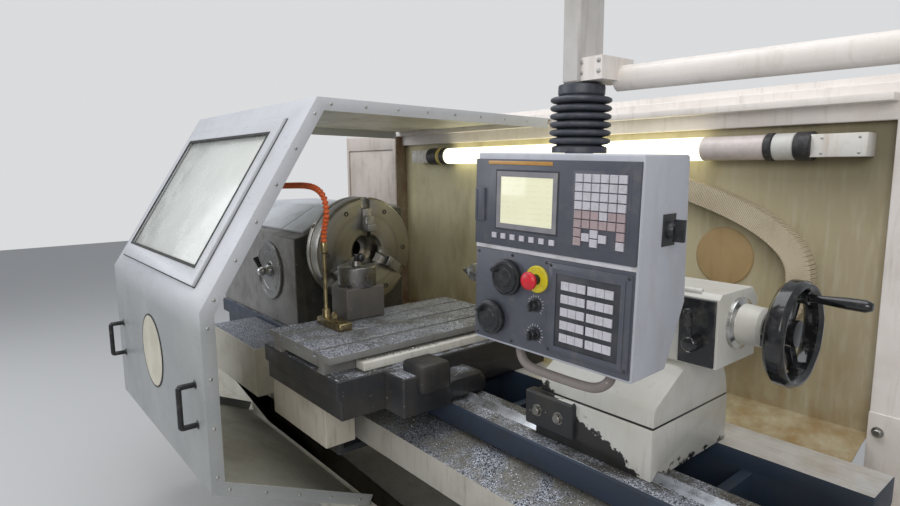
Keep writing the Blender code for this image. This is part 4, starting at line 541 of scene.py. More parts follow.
def two_tone(name, first, second, size=0.02, roughness=0.4, metallic=0.0):
    """A finish of two close tones in soft patches of about this size."""
    dull = (2 * size, 0.35, 0.75, roughness, roughness + 0.2)
    return finish(name, first, (second, 1, size, 0.4, 0.7), rough=roughness, metallic=metallic, dull=dull)


mark_ink = two_tone("mark_ink", (0.022, 0.022, 0.022), (0.06, 0.056, 0.05), 0.01, 0.5)
coat(fuse("range_dial_marks", marks), mark_ink, "range_dial")
lever_steel = ground_metal("lever_steel", (0.60, 0.60, 0.60), 0.18, (1, 1, 1), oily=0.35)
lever = reworked("range_lever", lever_steel, 0.0, 50)
lever_black = finish(
    "lever_black", (0.012, 0.012, 0.013), ((0.06, 0.058, 0.054), 1, 0.02, 0.5, 0.8), rough=0.22
)
repaint(lever, lever_black, lambda c, n: c.z > DIAL_Z + 0.028)

# Chuck and spindle: a three-jaw steel chuck, turned all over. Its face shows fine rings from the lathe tool,
# with T-slots for the jaws, key sockets round the rim and bolts that hold it to the spindle's flange.
AXIS_Z = 1.1103
CHUCK_FACE = -0.437
BOLT_CIRCLE = 0.205


def turned_metal(name, colour, rough, tint=(0.40, 0.35, 0.24), tinted=0.7):
    """Steel turned about the spindle's axis: fine rings, and a warm tint of oil."""
    material = shading(name, rough, 1.0)
    parts = add_node(material, "SeparateXYZ", {"Vector": object_place(material)}).outputs
    height = combined(material, "SUBTRACT", parts["Z"], AXIS_Z)
    flat = add_node(material, "CombineXYZ", {"X": parts["Y"], "Y": height})
    reach = add_node(
        material, "VectorMath", {0: flat.outputs["Vector"]}, operation="LENGTH"
    ).outputs["Value"]
    rings = add_node(material, "CombineXYZ", {"X": reach, "Y": parts["X"]}).outputs["Vector"]
    grooves = add_node(
        material, "TexNoise", {"Vector": rings, "Scale": 420.0, "Detail": 2.0}
    ).outputs["Fac"]
    broad = add_node(material, "TexNoise", {"Vector": rings, "Scale": 26.0, "Detail": 3.0}).outputs["Fac"]
    tone = mixed(material, span(material, broad, 0.4, 0.62), colour, tuple(0.72 * c for c in colour))
    tone = mixed(material, product(material, patches(material, 0.10, 0.45, 0.75), tinted), tone, tint)
    put(material, "Base Color", tone)
    put(material, "Roughness", span(material, broad, 0.3, 0.7, rough, rough + 0.16))
    put(material, "Normal", raised(material, grooves, 0.00008))
    return material


chuck_steel = turned_metal("chuck_steel", (0.43, 0.42, 0.39), 0.24)
reworked("chuck_body", chuck_steel, 0.0015, 40)
jaw_steel = ground_metal("jaw_steel", (0.42, 0.42, 0.42), 0.3, (1, 1, 1), oily=0.6)
for number in (1, 2, 3):
    reworked(f"chuck_jaw_{number}", jaw_steel, 0.0015)
reworked("spindle", chuck_steel, 0.0015, 40)
bolts = []
bolt_profile = [
    (0, 0.002), (0.0055, 0.002), (0.0062, 0.0075), (0.0095, 0.0075), (0.011, 0.006), (0.011, 0), (0, 0)
]
for k in range(6):
    angle = math.tau * (k + 0.5) / 6
    place = (CHUCK_FACE - 0.004, -BOLT_CIRCLE * math.sin(angle), AXIS_Z + BOLT_CIRCLE * math.cos(angle))
    bolts.append(spun("chuck_bolt", bolt_profile, place, (1, 0, 0), 20))
bolt_black = two_tone("bolt_black", (0.05, 0.05, 0.052), (0.16, 0.15, 0.14), 0.004, 0.35, 0.8)
coat(fuse("chuck_bolts", bolts), bolt_black, "chuck_body")

# Guard: folded sheet steel painted light grey, with a stiff flange round both ends. Round-headed screws hold
# the edging to the flanges. The outside has scuffs and runs of dirt. Its lower front is painted darker as painted
# shade, and its slope lighter as painted light from the roof.
GUARD_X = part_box("guard_shell")[0][0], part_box("guard_shell")[1][0]
GUARD_PATH = [(0.60, 1.70), (-0.547, 1.722), (-0.95, 1.084), (-0.95, 0.518), (-0.40, 0.268)]
GUARD_MIDDLE = Vector((-0.4, -0.30, 1.10))
guard_paint = finish("guard_paint", (1, 1, 1), dull=(0.12, 0.3, 0.7, 0.30, 0.46), bump=(0.22, 1.0, 0.0009))
# Painted light: dark grey below Z 1.02 and pale above 1.12, as painted shade on the lower front and painted light
# on the slope.
tone = mixed(guard_paint, along(guard_paint, "Z", 1.02, 1.12), (0.31, 0.325, 0.325), (0.52, 0.53, 0.56))
tone = layered(
    guard_paint,
    tone,
    ((0.47, 0.48, 0.46), 0.35, 0.35, 0.42, 0.68),
    ((0.36, 0.34, 0.28), 0.35, 0.05, 0.56, 0.80, (1, 1, 0.25)),
    ((0.12, 0.11, 0.10), 0.7, 0.004, 0.665, 0.69, (0.12, 1, 1), 4.0),
)
put(guard_paint, "Base Color", tone)
guard_inside = worn_paint(
    "guard_inside",
    (0.74, 0.72, 0.61),
    dirt=(0.32, 0.28, 0.19),
    dirty=0.5,
    streaks=0.55,
    chips=0.66,
    rough=0.34,
)
guard = reworked("guard_shell", guard_paint, 0.0012)


def faces_inward(middle, normal):
    """Whether a face of the guard looks at the work."""
    inward = GUARD_MIDDLE - Vector((GUARD_MIDDLE.x, middle.y, middle.z))
    return abs(normal.x) < 0.5 and normal.dot(inward) > 0.02


repaint(guard, guard_inside, faces_inward)


def walk(path, inset, pitch, start=0.05):
    """Places at an even pitch along a bent path, moved to its left by inset."""
    places = []
    for first, second in zip(path, path[1:]):
        a, b = Vector(first), Vector(second)
        run = (b - a).normalized()
        side = Vector((-run.y, run.x))
        count = max(1, round(((b - a).length - 2 * start) / pitch))
        for k in range(count + 1):
            places.append(a + side * inset + run * (start + ((b - a).length - 2 * start) * k / count))
    return places


screw_head = [(0, 0.0032), (0.0028, 0.0029), (0.0050, 0.0014), (0.0056, 0), (0, 0)]
screws = [
    spun("guard_screw", screw_head, (x, y, z), (way, 0, 0), 14)
    for x, way, pitch in ((GUARD_X[1], 1, 0.135), (GUARD_X[0], -1, 0.27))
    for y, z in walk(GUARD_PATH, 0.020, pitch)
]
screw_zinc = ground_metal("screw_zinc", (0.55, 0.54, 0.52), 0.35, (1, 1, 1))
coat(fuse("guard_screws", screws), screw_zinc, "guard_shell")

# Window: a folded steel frame laid on the guard's slope like a door, with a dark gap round it. Its safety
# pane is old, scuffed and dull, and its pale grey colour is a painted reflection of the hall's pale roof.
crest, knee = (Vector(point) for point in GUARD_PATH[1:3])
rise = (crest - knee).normalized()
SLOPE = Matrix(((1, 0, 0, 0), (0, rise.x, -rise.y, knee.x), (0, rise.y, rise.x, knee.y), (0, 0, 0, 1)))
window = reworked("window_frame", guard_paint, 0.0025)
corners = [SLOPE.inverted() @ v.co for v in window.data.vertices]
window_x = min(c.x for c in corners), max(c.x for c in corners)
window_v = min(c.y for c in corners), max(c.y for c in corners)


def flat_ring(name, low, high, width, thickness, lift, placed, edge=0.0):
    """A flat frame: a plane, inset, opened and given its thickness."""
    bpy.ops.mesh.primitive_plane_add(
        size=1, location=((low[0] + high[0]) / 2, (low[1] + high[1]) / 2, lift)
    )
    ring = held(name)
    ring.scale = (high[0] - low[0], high[1] - low[1], 1)
    apply_place(ring)
    pick(ring, lambda c, n: True)
    bpy.ops.mesh.inset(thickness=width)
    bpy.ops.mesh.delete(type="FACE")
    bpy.ops.object.mode_set(mode="OBJECT")
    wall = ring.modifiers.new("wall", "SOLIDIFY")
    wall.thickness, wall.offset = thickness, 1
    bpy.ops.object.modifier_apply(modifier=wall.name)
    if edge:
        softened(ring, edge)
    return apply_place(ring, placed)


gap_black = two_tone("gap_black", (0.018, 0.018, 0.018), (0.05, 0.047, 0.04), 0.03, 0.65)
for name, grow, width, thickness, lift in (
    ("window_gap", 0.004, 0.006, 0.0012, 0.0001),
    ("window_gasket", -0.053, 0.010, 0.0035, 0.0102),
):
    low = window_x[0] - grow, window_v[0] - grow
    high = window_x[1] + grow, window_v[1] + grow
    coat(flat_ring(name, low, high, width, thickness, lift, SLOPE), gap_black, "window_frame")
haze_and_reflection = ((0.70, 0.71, 0.67), 1, 0.35, 0.35, 0.7)
drips = ((0.56, 0.58, 0.50), 0.35, 0.03, 0.60, 0.8, (1, 1, 0.3))
# Painted reflection: the pane's pale colour stands in for the roof it reflects, with haze and drips over it.
pane_glass = finish(
    "pane_glass", (0.66, 0.68, 0.64), haze_and_reflection, drips, rough=0.16, dull=(0.10, 0.3, 0.7, 0.12, 0.35)
)
put(pane_glass, "Transmission Weight", 0.08)
reworked("window_pane", pane_glass, 0.0006)

# Guard's handles and plate: two black bow handles screwed on from behind, and a round cream plate with a
# dark rim between them.
handle_black = finish(
    "handle_black", (0.012, 0.012, 0.014), ((0.06, 0.058, 0.055), 1, 0.02, 0.5, 0.8), rough=0.28
)


def eased(route, rounds=3):
    """The route with its corners cut, its ends kept."""
    for _ in range(rounds):
        cut = [route[0]]
        for first, second in zip(route, route[1:]):
            cut += [first.lerp(second, 0.25), first.lerp(second, 0.75)]
        route = [*cut, route[-1]]
    return route


def bowed(name, points, radius):
    """A round bar through these points, its bends eased."""
    route = eased([Vector(point) for point in points])
    curve = bpy.data.curves.new(name, "CURVE")
    curve.dimensions = "3D"
    curve.bevel_depth, curve.bevel_resolution, curve.use_fill_caps = radius, 6, True
    line = curve.splines.new("POLY")
    line.points.add(len(route) - 1)
    for point, place in zip(line.points, route):
        point.co = (*place, 1.0)
    alone(new_object(name, curve))
    bpy.ops.object.convert(target="MESH")
    piece = held(name)
    bpy.ops.object.mode_set(mode="EDIT")
    bpy.ops.mesh.select_all(action="SELECT")
    bpy.ops.mesh.remove_doubles(threshold=0.00001)
    bpy.ops.mesh.normals_make_consistent(inside=False)
    bpy.ops.object.mode_set(mode="OBJECT")
    bpy.ops.object.shade_smooth_by_angle(angle=math.radians(40))
    return piece


foot_profile = [(0, 0.004), (0.011, 0.004), (0.014, 0.002), (0.0145, 0), (0, 0)]
for node in ("guard_handle_left", "guard_handle_right"):
    low, high = (Vector(corner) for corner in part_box(node))
    x, out, back = (low.x + high.x) / 2, low.y + 0.009, high.y
    foot, head = low.z + 0.009, high.z - 0.009
    half = [(back, foot), (out + 0.016, foot), (out, foot), (out, foot + 0.016)]
    other = [(out, head - 0.016), (out, head), (out + 0.016, head), (back, head)]
    bar = bowed(node + "_bar", [(x, y, z) for y, z in half + other], 0.0088)
    feet = [spun("handle_foot", foot_profile, (x, back, z), (0, -1, 0), 28) for z in (foot, head)]
    stand_in(fuse(node + "_bow", [bar, *feet]), handle_black, node)
low, high = (Vector(corner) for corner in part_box("guard_plate"))
place, radius = ((low.x + high.x) / 2, high.y, (low.z + high.z) / 2), (high.x - low.x) / 2
cream_plate = worn_paint("cream_plate", (0.62, 0.58, 0.47), dirty=0.35, streaks=0.2)
disc = [(0, 0.0024), (radius - 0.006, 0.0024), (radius - 0.0055, 0)]
stand_in(spun("guard_plate_disc", disc, place, (0, -1, 0), 128), cream_plate, "guard_plate")
rim = [(radius - 0.0058, 0), (radius - 0.0058, 0.0030), (radius, 0.0026), (radius, 0), (radius - 0.0058, 0)]
coat(spun("guard_plate_rim", rim, place, (0, -1, 0), 128), mark_ink, "guard_plate")

# Saddle: the iron casting that rides the ways. It is nearly black with oil and old chips, and only its rubbed
# edges show iron. A shoe with a round wiper cap stands at its right front corner.
saddle_paint = worn_paint(
    "saddle_paint",
    (0.020, 0.021, 0.024),
    dirt=(0.075, 0.06, 0.04),
    dirty=0.55,
    streaks=0.3,
    under=(0.30, 0.28, 0.24),
    chips=0.59,
    rough=0.34,
)
saddle = reworked("saddle", saddle_paint, 0.003)
saddle_chips = chip_layer("saddle_chips", (0.05, 0.048, 0.04), 0.50)
repaint(saddle, saddle_chips, lambda c, n: n.z > 0.9 and 0.80 < c.z < 0.885)
cover_cream = worn_paint("slide_cover_paint", (0.62, 0.60, 0.54), dirty=0.6, streaks=0.4, chips=0.62)
reworked("slide_cover", cover_cream, 0.001)

# Cross slide: a steel table ground flat, with three T-slots, on a narrower tongue. It is scratched and oily
# where chips are brushed off, and dull brown down its sides.
table_steel = ground_metal("table_steel", (0.40, 0.41, 0.42), 0.32, (1, 0.05, 1), oily=0.6)
table_sides = worn_paint(
    "table_sides",
    (0.20, 0.20, 0.19),
    dirt=(0.10, 0.085, 0.06),
    dirty=0.6,
    streaks=0.5,
    under=(0.4, 0.4, 0.4),
    chips=0.6,
    rough=0.34,
)
slide = reworked("cross_slide", table_sides, 0.0012)
table_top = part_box("cross_slide")[1][2]
repaint(slide, table_steel, lambda c, n: n.z > 0.7 and c.z > table_top - 0.03)
table_chips = chip_layer("table_chips", (0.22, 0.22, 0.20), 0.72, 0.7)
repaint(slide, table_chips, lambda c, n: n.z > 0.9 and c.z > table_top - 0.03)

# Tool post: a block with a round indexing drum on it, both blackened steel, clamped by a ball lever. The
# turning tool sticks out of its left side.
post_black = worn_paint(
    "post_black",
    (0.085, 0.078, 0.072),
    dirt=(0.17, 0.14, 0.10),
    dirty=0.5,
    streaks=0.3,
    under=(0.40, 0.38, 0.34),
    chips=0.57,
    rough=0.30,
)
reworked("tool_post_block", post_black, 0.002)
drum_steel = ground_metal("drum_steel", (0.26, 0.25, 0.24), 0.26, (1, 1, 1), oily=0.5)
drum = reworked("tool_drum", drum_steel, 0.001, 50)
repaint(drum, lever_black, lambda c, n: c.z > 1.146)
tool_steel = ground_metal("tool_steel", (0.28, 0.26, 0.22), 0.32, (0.1, 1, 1), oily=0.7)
reworked("turning_tool", tool_steel, 0.0006)

# Coolant pipe: a brass pipe with a tap block and an elbow, screwed into the table. The valve is dull and
# green at its joints.
brass = finish(
    "brass",
    (0.42, 0.34, 0.18),
    ((0.22, 0.18, 0.11), 1, 0.02, 0.4, 0.7),
    ((0.10, 0.13, 0.09), 0.6, 0.012, 0.6, 0.72),
    rough=0.3,
    metallic=1.0,
    dull=(0.015, 0.3, 0.7, 0.22, 0.5),
)
reworked("coolant_pipe", brass, 0.0008, 40)

# Coolant hose: a snap-together jointed hose of orange plastic. Each link is a ball and socket, stiff enough
# to stand where it is bent. It is fixed to the pipe, so it is no free cord.
HOSE_FOOT = Vector((0.03, -0.465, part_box("coolant_pipe")[1][2]))
hose_steps = [
    (0, 0, 0),
    (0.001, 0, 0.025),
    (0.012, 0, 0.055),
    (0.036, -0.002, 0.11),
    (0.026, -0.005, 0.165),
    (-0.025, -0.01, 0.193),
    (-0.10, -0.014, 0.20),
    (-0.21, -0.02, 0.197),
    (-0.32, -0.026, 0.194),
]
hose_route = eased([HOSE_FOOT + Vector(step) for step in hose_steps])


def spaced(route, count):
    """Places at even lengths along a route, each with its direction."""
    reach = [0.0]
    for first, second in zip(route, route[1:]):
        reach.append(reach[-1] + (second - first).length)
    places = []
    for k in range(count):
        wanted = reach[-1] * k / (count - 1)
        i = next((i for i in range(len(reach) - 1) if reach[i + 1] >= wanted - 1e-9), len(reach) - 2)
        share = (wanted - reach[i]) / (reach[i + 1] - reach[i])
        places.append((route[i].lerp(route[i + 1], share), (route[i + 1] - route[i]).normalized()))
    return places


link_profile = [
    (0.0042, 0.000),
    (0.0078, 0.0000),
    (0.0104, 0.0022),
    (0.0117, 0.0055),
    (0.0110, 0.0088),
    (0.0082, 0.0108),
    (0.0066, 0.0120),
    (0.0064, 0.0185),
    (0.0042, 0.0185),
    (0.0042, 0.000),
]
*joints, (tip, way_out) = spaced(hose_route, 34)
links = [spun("hose_link", link_profile, place, way, 24) for place, way in joints]
nozzle = [
    (0.0025, -0.004), (0.0095, -0.004), (0.0095, 0.004), (0.0050, 0.0), (0.0045, 0.0), (0.0025, -0.004)
]
links.append(spun("hose_nozzle", nozzle, tip, way_out, 24))
hose_orange = finish(
    "hose_orange",
    (0.74, 0.13, 0.025),
    ((0.60, 0.11, 0.03), 1, 0.05, 0.4, 0.7),
    ((0.13, 0.09, 0.06), 0.5, 0.015, 0.52, 0.72),
    rough=0.42,
)
stand_in(fuse("coolant_hose_links", links), hose_orange, "coolant_hose")

# Tailstock: an iron casting on a base plate that slides on the ways. Its cream paint has chipped to black
# along the bottom and the left, and its lower lug is bare dark iron with the clamp's bolts.
SEAM_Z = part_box("tailstock_base")[1][2]
tail_paint = shading("tail_paint", 0.34)
tone = layered(
    tail_paint,
    (0.62, 0.62, 0.585),
    ((0.56, 0.545, 0.49), 1, 0.30, 0.35, 0.65),
    ((0.34, 0.28, 0.19), 0.30, 0.09, 0.50, 0.80),
    ((0.26, 0.20, 0.12), 0.3, 0.02, 0.58, 0.8, (1, 1, 0.15)),
)
where = object_place(tail_paint)
place = add_node(tail_paint, "SeparateXYZ", {"Vector": where}).outputs
leftward = span(tail_paint, place["X"], 0.69, 1.19, 0.2315, 0.0)
slant = combined(tail_paint, "ADD", leftward, span(tail_paint, place["Z"], 0.745, 1.245, 0.0, -0.5))
blotch = add_node(
    tail_paint, "TexNoise", {"Vector": where, "Scale": 26.0, "Detail": 9.0, "Roughness": 0.66}
)
ragged = span(tail_paint, blotch.outputs["Fac"], 0.0, 1.0, -0.06, 0.06)
worn = span(tail_paint, combined(tail_paint, "ADD", slant, ragged), 0.0, 0.002)
bare = combined(tail_paint, "MAXIMUM", worn, patches(tail_paint, 0.010, 0.715, 0.73, (1, 1, 1), 6.0))
above = span(tail_paint, place["Z"], SEAM_Z - 0.0030, SEAM_Z - 0.0022)
seam = product(tail_paint, above, span(tail_paint, place["Z"], SEAM_Z + 0.0026, SEAM_Z + 0.0034, 1.0, 0.0))
bare = combined(tail_paint, "MAXIMUM", bare, seam)
put(tail_paint, "Base Color", mixed(tail_paint, bare, tone, (0.022, 0.021, 0.020)))
put(tail_paint, "Normal", raised(tail_paint, bare, -0.0005))
casting = reworked("tailstock_casting", tail_paint, 0.005, 50, 3)
lug_iron = worn_paint(
    "lug_iron",
    (0.022, 0.024, 0.028),
    dirt=(0.09, 0.07, 0.045),
    dirty=0.5,
    streaks=0.3,
    under=(0.45, 0.42, 0.36),
    chips=0.58,
    rough=0.38,
)
tail_base = reworked("tailstock_base", tail_paint, 0.003)
repaint(tail_base, lug_iron, lambda c, n: c.y < -0.2365 or c.z < 0.738)
head = [
    (0, 0.012), (0.010, 0.012), (0.0125, 0.010), (0.0125, 0.002), (0.017, 0.002), (0.018, 0.0), (0, 0.0)
]
tail_bolts = [spun("clamp_bolt", head, (x, -0.2545, 0.816), (0, -1, 0), 24) for x in (0.862, 0.937)]
bolt_steel = ground_metal("bolt_steel", (0.30, 0.29, 0.27), 0.35, (1, 1, 1))
coat(fuse("clamp_bolts", tail_bolts), bolt_steel, "tailstock_base")

# Quill: hardened steel, ground and bright, with the live centre in its bore. The centre's cone turns in its
# own bearings.
bright_steel = ground_metal("bright_steel", (0.62, 0.62, 0.61), 0.16, (1, 1, 1), oily=0.3)
reworked("quill", bright_steel, 0.0006, 50)
repaint(casting, bright_steel, lambda c, n: 1.291 < c.x < 1.306 and math.hypot(c.y, c.z - AXIS_Z) < 0.0655)
reworked("live_centre", bright_steel, 0.0006, 50)

# Clamp plate and lever: a black plate framed by the barrel's paint, and a chromed hub with a thin rod and a
# tapered black grip that locks the quill.
plate_black = finish(
    "plate_black", (0.014, 0.015, 0.018), ((0.07, 0.068, 0.062), 1, 0.03, 0.45, 0.75), rough=0.35
)
reworked("clamp_plate", plate_black, 0.002)
tarnish = ((0.58, 0.57, 0.55), 1, 0.02, 0.45, 0.75)
chrome = finish(
    "chrome", (0.80, 0.81, 0.82), tarnish, rough=0.2, metallic=0.72, dull=(0.03, 0.4, 0.7, 0.18, 0.36)
)
lever = reworked("clamp_lever", chrome, 0.0006, 50)
prints = ((0.045, 0.043, 0.040), 1, 0.02, 0.5, 0.8)
gloss_black = finish(
    "gloss_black", (0.010, 0.010, 0.011), prints, rough=0.12, dull=(0.04, 0.35, 0.75, 0.09, 0.3)
)
put(gloss_black, "Coat Weight", 0.4)
GRIP_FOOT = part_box("clamp_lever")[1][2] - 0.105
repaint(lever, gloss_black, lambda c, n: c.z > GRIP_FOOT)

# Hand wheel: a solid rim of polished black plastic on three cast spokes, with a turning grip. Hands keep the
# rim clean, so it is the shiniest thing on the tailstock.
reworked("hand_wheel", gloss_black, 0.002, 60)
reworked("crank_grip", gloss_black, 0.001, 60)

# Rear frame: welded box section painted warm white: the beam that the guard's roof runs on, its pillar and
# the roof rail. The beam's top lip catches the light.
frame_paint = worn_paint(
    "frame_paint",
    (0.76, 0.71, 0.67),
    dirt=(0.40, 0.33, 0.25),
    dirty=0.30,
    streaks=0.40,
    chips=0.66,
    rough=0.36,
)
reworked("rear_frame", frame_paint, 0.003)
foot_bolt = [(0, 0.016), (0.009, 0.016), (0.011, 0.014), (0.011, 0.004), (0.016, 0.003), (0.017, 0), (0, 0)]
bolt = spun("foot_bolt", foot_bolt, (1.447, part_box("rear_frame")[0][1] + 0.0495, 0.690), (0, -1, 0), 28)
coat(bolt, screw_zinc, "rear_frame")

# Splash wall: thin steel sheet behind the bed, olive beige and stained yellow where coolant has dried. Its
# foot slopes forward to lead chips into the tray.
wall_paint = finish("wall_paint", (1, 1, 1), dull=(0.15, 0.3, 0.7, 0.26, 0.55), bump=(0.30, 1.0, 0.0015))
# Painted light: the wall is painted pale at the left and darker towards the right, as painted light from the lit
# tube falling off.
tone = mixed(wall_paint, along(wall_paint, "X", 0.2, 1.3), (0.64, 0.59, 0.37), (0.36, 0.30, 0.19))
tone = layered(
    wall_paint,
    tone,
    ((0.40, 0.35, 0.20), 0.4, 0.6, 0.35, 0.65),
    ((0.24, 0.20, 0.10), 0.6, 0.10, 0.45, 0.75, (1, 1, 0.35)),
    ((0.50, 0.47, 0.36), 0.5, 0.02, 0.50, 0.75, (1, 1, 0.10)),
)
foot = span(wall_paint, along(wall_paint, "Z", 0.60, 0.95), 0, 1, 1, 0)
stain = product(
    wall_paint, product(wall_paint, patches(wall_paint, 0.09, 0.38, 0.62, (1, 1, 0.5)), foot), 0.8
)
tone = mixed(wall_paint, stain, tone, (0.24, 0.135, 0.035))
# Painted shadow: the upper right of the wall, shaded by the beam, is painted darker still.
painted_shade_upper_right = product(wall_paint, along(wall_paint, "Z", 1.30, 1.52), along(wall_paint, "X", 0.95, 1.35))
tone = mixed(wall_paint, product(wall_paint, painted_shade_upper_right, 0.75), tone, (0.11, 0.095, 0.045))
put(wall_paint, "Base Color", tone)
reworked("rear_wall", wall_paint, 0.001)
port_paint = worn_paint(
    "port_paint",
    (0.44, 0.31, 0.15),
    dirt=(0.30, 0.18, 0.07),
    dirty=0.6,
    streaks=0.4,
    chips=0.60,
    under=(0.30, 0.25, 0.20),
)
reworked("port_cover", port_paint, 0.0012, 50)

# Energy chain: a square conduit of many thin folded ribs that carries the cables to the guard. It bends where
# each rib slides in the next, and hangs in a loop against the splash wall.
chain_low, chain_high = (Vector(corner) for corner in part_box("energy_chain"))
chain_points = [
    (0.55, 1.47),
    (0.80, 1.41),
    (0.98, 1.348),
    (1.11, 1.28),
    (1.19, 1.20),
    (1.205, 1.10),
    (1.17, 1.0),
    (1.07, 0.93),
    (0.90, 0.90),
    (0.70, 0.895),
]
chain_y = (chain_low.y + chain_high.y) / 2
chain_route = eased([Vector((x, chain_y, z)) for x, z in chain_points])
bpy.ops.mesh.primitive_cube_add(size=1, location=(0, 0, 0))
rib = held("chain_rib")
rib.scale = (0.0042, chain_high.y - chain_low.y - 0.001, 0.0745)
apply_place(rib)
pick(rib, lambda c, n: n.x > 0.9)
bpy.ops.mesh.inset(thickness=0.0022)
bpy.ops.mesh.extrude_region_move(TRANSFORM_OT_translate={"value": (0.0034, 0, 0)})
bpy.ops.object.mode_set(mode="OBJECT")


def copies(piece, places):
    """Copies of a piece at these places, each with its own mesh."""
    made = []
    for place in places:
        made.append(new_object(piece.name, piece.data.copy()))
        made[-1].data.transform(place)
    return made


rib_places = [
    Matrix.Translation(place) @ Matrix.Rotation(-math.atan2(way.z, way.x), 4, "Y")
    for place, way in spaced(chain_route, 236)[:-1]
]
chain_ribs = copies(rib, rib_places)
bpy.data.objects.remove(rib, do_unlink=True)
chain_beige = worn_paint(
    "chain_beige",
    (0.66, 0.57, 0.41),
    dirt=(0.30, 0.22, 0.13),
    dirty=0.45,
    streaks=0.2,
    chips=0.7,
    rough=0.5,
)
chain = stand_in(fuse("energy_chain_ribs", chain_ribs), chain_beige, "energy_chain")
chain_steps = spaced(chain_route, 60)


def in_gap(middle, normal):
    """Whether a face looks along the chain, into the gap beside its rib."""
    nearest = min(chain_steps, key=lambda step: (step[0] - middle).length_squared)
    return abs(normal.dot(nearest[1].normalized())) > 0.75


# Painted shade: the faces that look into the gaps between the ribs are painted dark brown, as shade between the
# ribs.
repaint(chain, two_tone("chain_gap_shade", (0.10, 0.07, 0.045), (0.19, 0.13, 0.08), 0.05, 0.7), in_gap)

# Tube lamp: a clear tube over the work, with a lit lamp in its left three quarters and an unlit end. Dark
# rubber rings seal its caps, and a white block screwed to the wall holds each end.
LAMP_Y, LAMP_Z = 0.6137, 1.553
lit = shading("lit_tube", 0.25)
put(lit, "Base Color", (0.80, 0.78, 0.62))
put(lit, "Emission Strength", 1.7)
put(lit, "Emission Color", layered(lit, (0.95, 0.93, 0.72), ((0.86, 0.83, 0.58), 1, 0.05, 0.35, 0.7)))
unlit = finish("unlit_tube", (0.66, 0.58, 0.56), ((0.55, 0.50, 0.47), 1, 0.03, 0.4, 0.7), rough=0.25)
cap_light = worn_paint("lamp_cap_light", (0.58, 0.57, 0.54), dirty=0.4, streaks=0.2, chips=0.66)
ring_black = finish("ring_black", (0.02, 0.02, 0.022), ((0.07, 0.065, 0.06), 1, 0.02, 0.45, 0.7))
ring_yellow = finish(
    "ring_yellow", (0.72, 0.60, 0.16), ((0.48, 0.40, 0.14), 1, 0.02, 0.45, 0.7), rough=0.45
)
CAP_EDGE = 0.003
for name, start, stop, radius, material in (
    ("lamp_tube_lit", -0.575, 0.858, 0.0415, lit),
    ("lamp_tube_unlit", 0.858, 1.075, 0.0415, unlit),
    ("lamp_end_left", -0.72, -0.640, 0.0455, ring_black),
    ("lamp_ring_left", -0.640, -0.610, 0.0450, ring_yellow),
    ("lamp_seal_left", -0.610, -0.575, 0.0455, ring_black),
    ("lamp_seal_right", 1.075, 1.100, 0.0455, ring_black),
    ("lamp_sleeve_right", 1.100, 1.165, 0.0430, cap_light),
    ("lamp_end_right", 1.165, 1.215, 0.0455, ring_black),
):
    flat, far = radius - CAP_EDGE, stop - start
    profile = [(0, far), (flat, far), (radius, far - CAP_EDGE), (radius, CAP_EDGE), (flat, 0), (0, 0)]
    piece = spun(name, profile, (start, LAMP_Y, LAMP_Z), (1, 0, 0), 64)
    coat(piece, material, "tube_lamp")


def slab(name, low, high, edge, placed=None):
    """A block between two corners with rounded edges."""
    low, high = Vector(low), Vector(high)
    bpy.ops.mesh.primitive_cube_add(size=1, location=(low + high) / 2)
    piece = held(name)
    piece.scale = high - low
    apply_place(piece)
    softened(piece, edge, limit_method="NONE")
    bpy.ops.object.shade_smooth_by_angle(angle=math.radians(40))
    return apply_place(piece, placed)


def dome_screws(places, axis, radius, name):
    """Round-headed screws at these places."""
    head = [
        (0, 0.55 * radius),
        (0.5 * radius, 0.48 * radius),
        (0.9 * radius, 0.22 * radius),
        (radius, 0),
        (0, 0),
    ]
    return [spun(name, head, place, axis, 16) for place in places]


block_low, block_high = (Vector(corner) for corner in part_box("tube_lamp"))
BLOCK_FACE = LAMP_Y - 0.030
blocks = [
    slab("lamp_block", (left, BLOCK_FACE, LAMP_Z - 0.035), (right, block_high.y, LAMP_Z + 0.035), 0.003)
    for left, right in ((block_low.x, -0.71), (1.205, block_high.x))
]
block_white = worn_paint(
    "lamp_block_white",
    (0.70, 0.68, 0.64),
    dirt=(0.36, 0.22, 0.10),
    dirty=0.5,
    streaks=0.5,
    chips=0.62,
    under=(0.30, 0.16, 0.07),
)
stand_in(fuse("lamp_blocks", blocks), block_white, "tube_lamp")
SCREW_HEIGHTS = LAMP_Z - 0.023, LAMP_Z + 0.023
screws_at = [(x, BLOCK_FACE - 0.0002, z) for x in (-0.855, -0.785, 1.245, 1.345) for z in SCREW_HEIGHTS]
lamp_screws = dome_screws(screws_at, (0, -1, 0), 0.0045, "lamp_screw")
coat(fuse("lamp_block_screws", lamp_screws), screw_zinc, "tube_lamp")

# Control cabinet: a steel cabinet behind the headstock, in warm white paint that has gone pinkish. Its door is
# set back in the frame, and rust has run down its side.
cabinet_paint = worn_paint(
    "cabinet_paint",
    (0.60, 0.53, 0.48),
    dirt=(0.33, 0.25, 0.17),
    dirty=0.5,
    streaks=0.6,
    chips=0.64,
    under=(0.20, 0.12, 0.07),
)
cabinet = reworked("control_cabinet", cabinet_paint, 0.003)
cabinet_high = Vector(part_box("control_cabinet")[1])
rusty = shading("rusty_side", 0.55)
rust = patches(rusty, 0.10, 0.42, 0.62, (1, 1, 0.4))
tone = mixed(rusty, rust, (0.30, 0.24, 0.17), (0.20, 0.11, 0.06))
put(rusty, "Base Color", layered(rusty, tone, ((0.40, 0.32, 0.24), 1, 0.02, 0.55, 0.7)))
put(rusty, "Normal", raised(rusty, rust, 0.0006))
repaint(
    cabinet, rusty, lambda c, n: n.x > 0.8 and c.z < cabinet_high.z - 0.09 and c.x > cabinet_high.x - 0.01
)
band_paint = worn_paint("band_paint", (0.68, 0.64, 0.58), dirty=0.3, streaks=0.2)
repaint(cabinet, band_paint, lambda c, n: c.z > cabinet_high.z - 0.091 and n.z < 0.5)

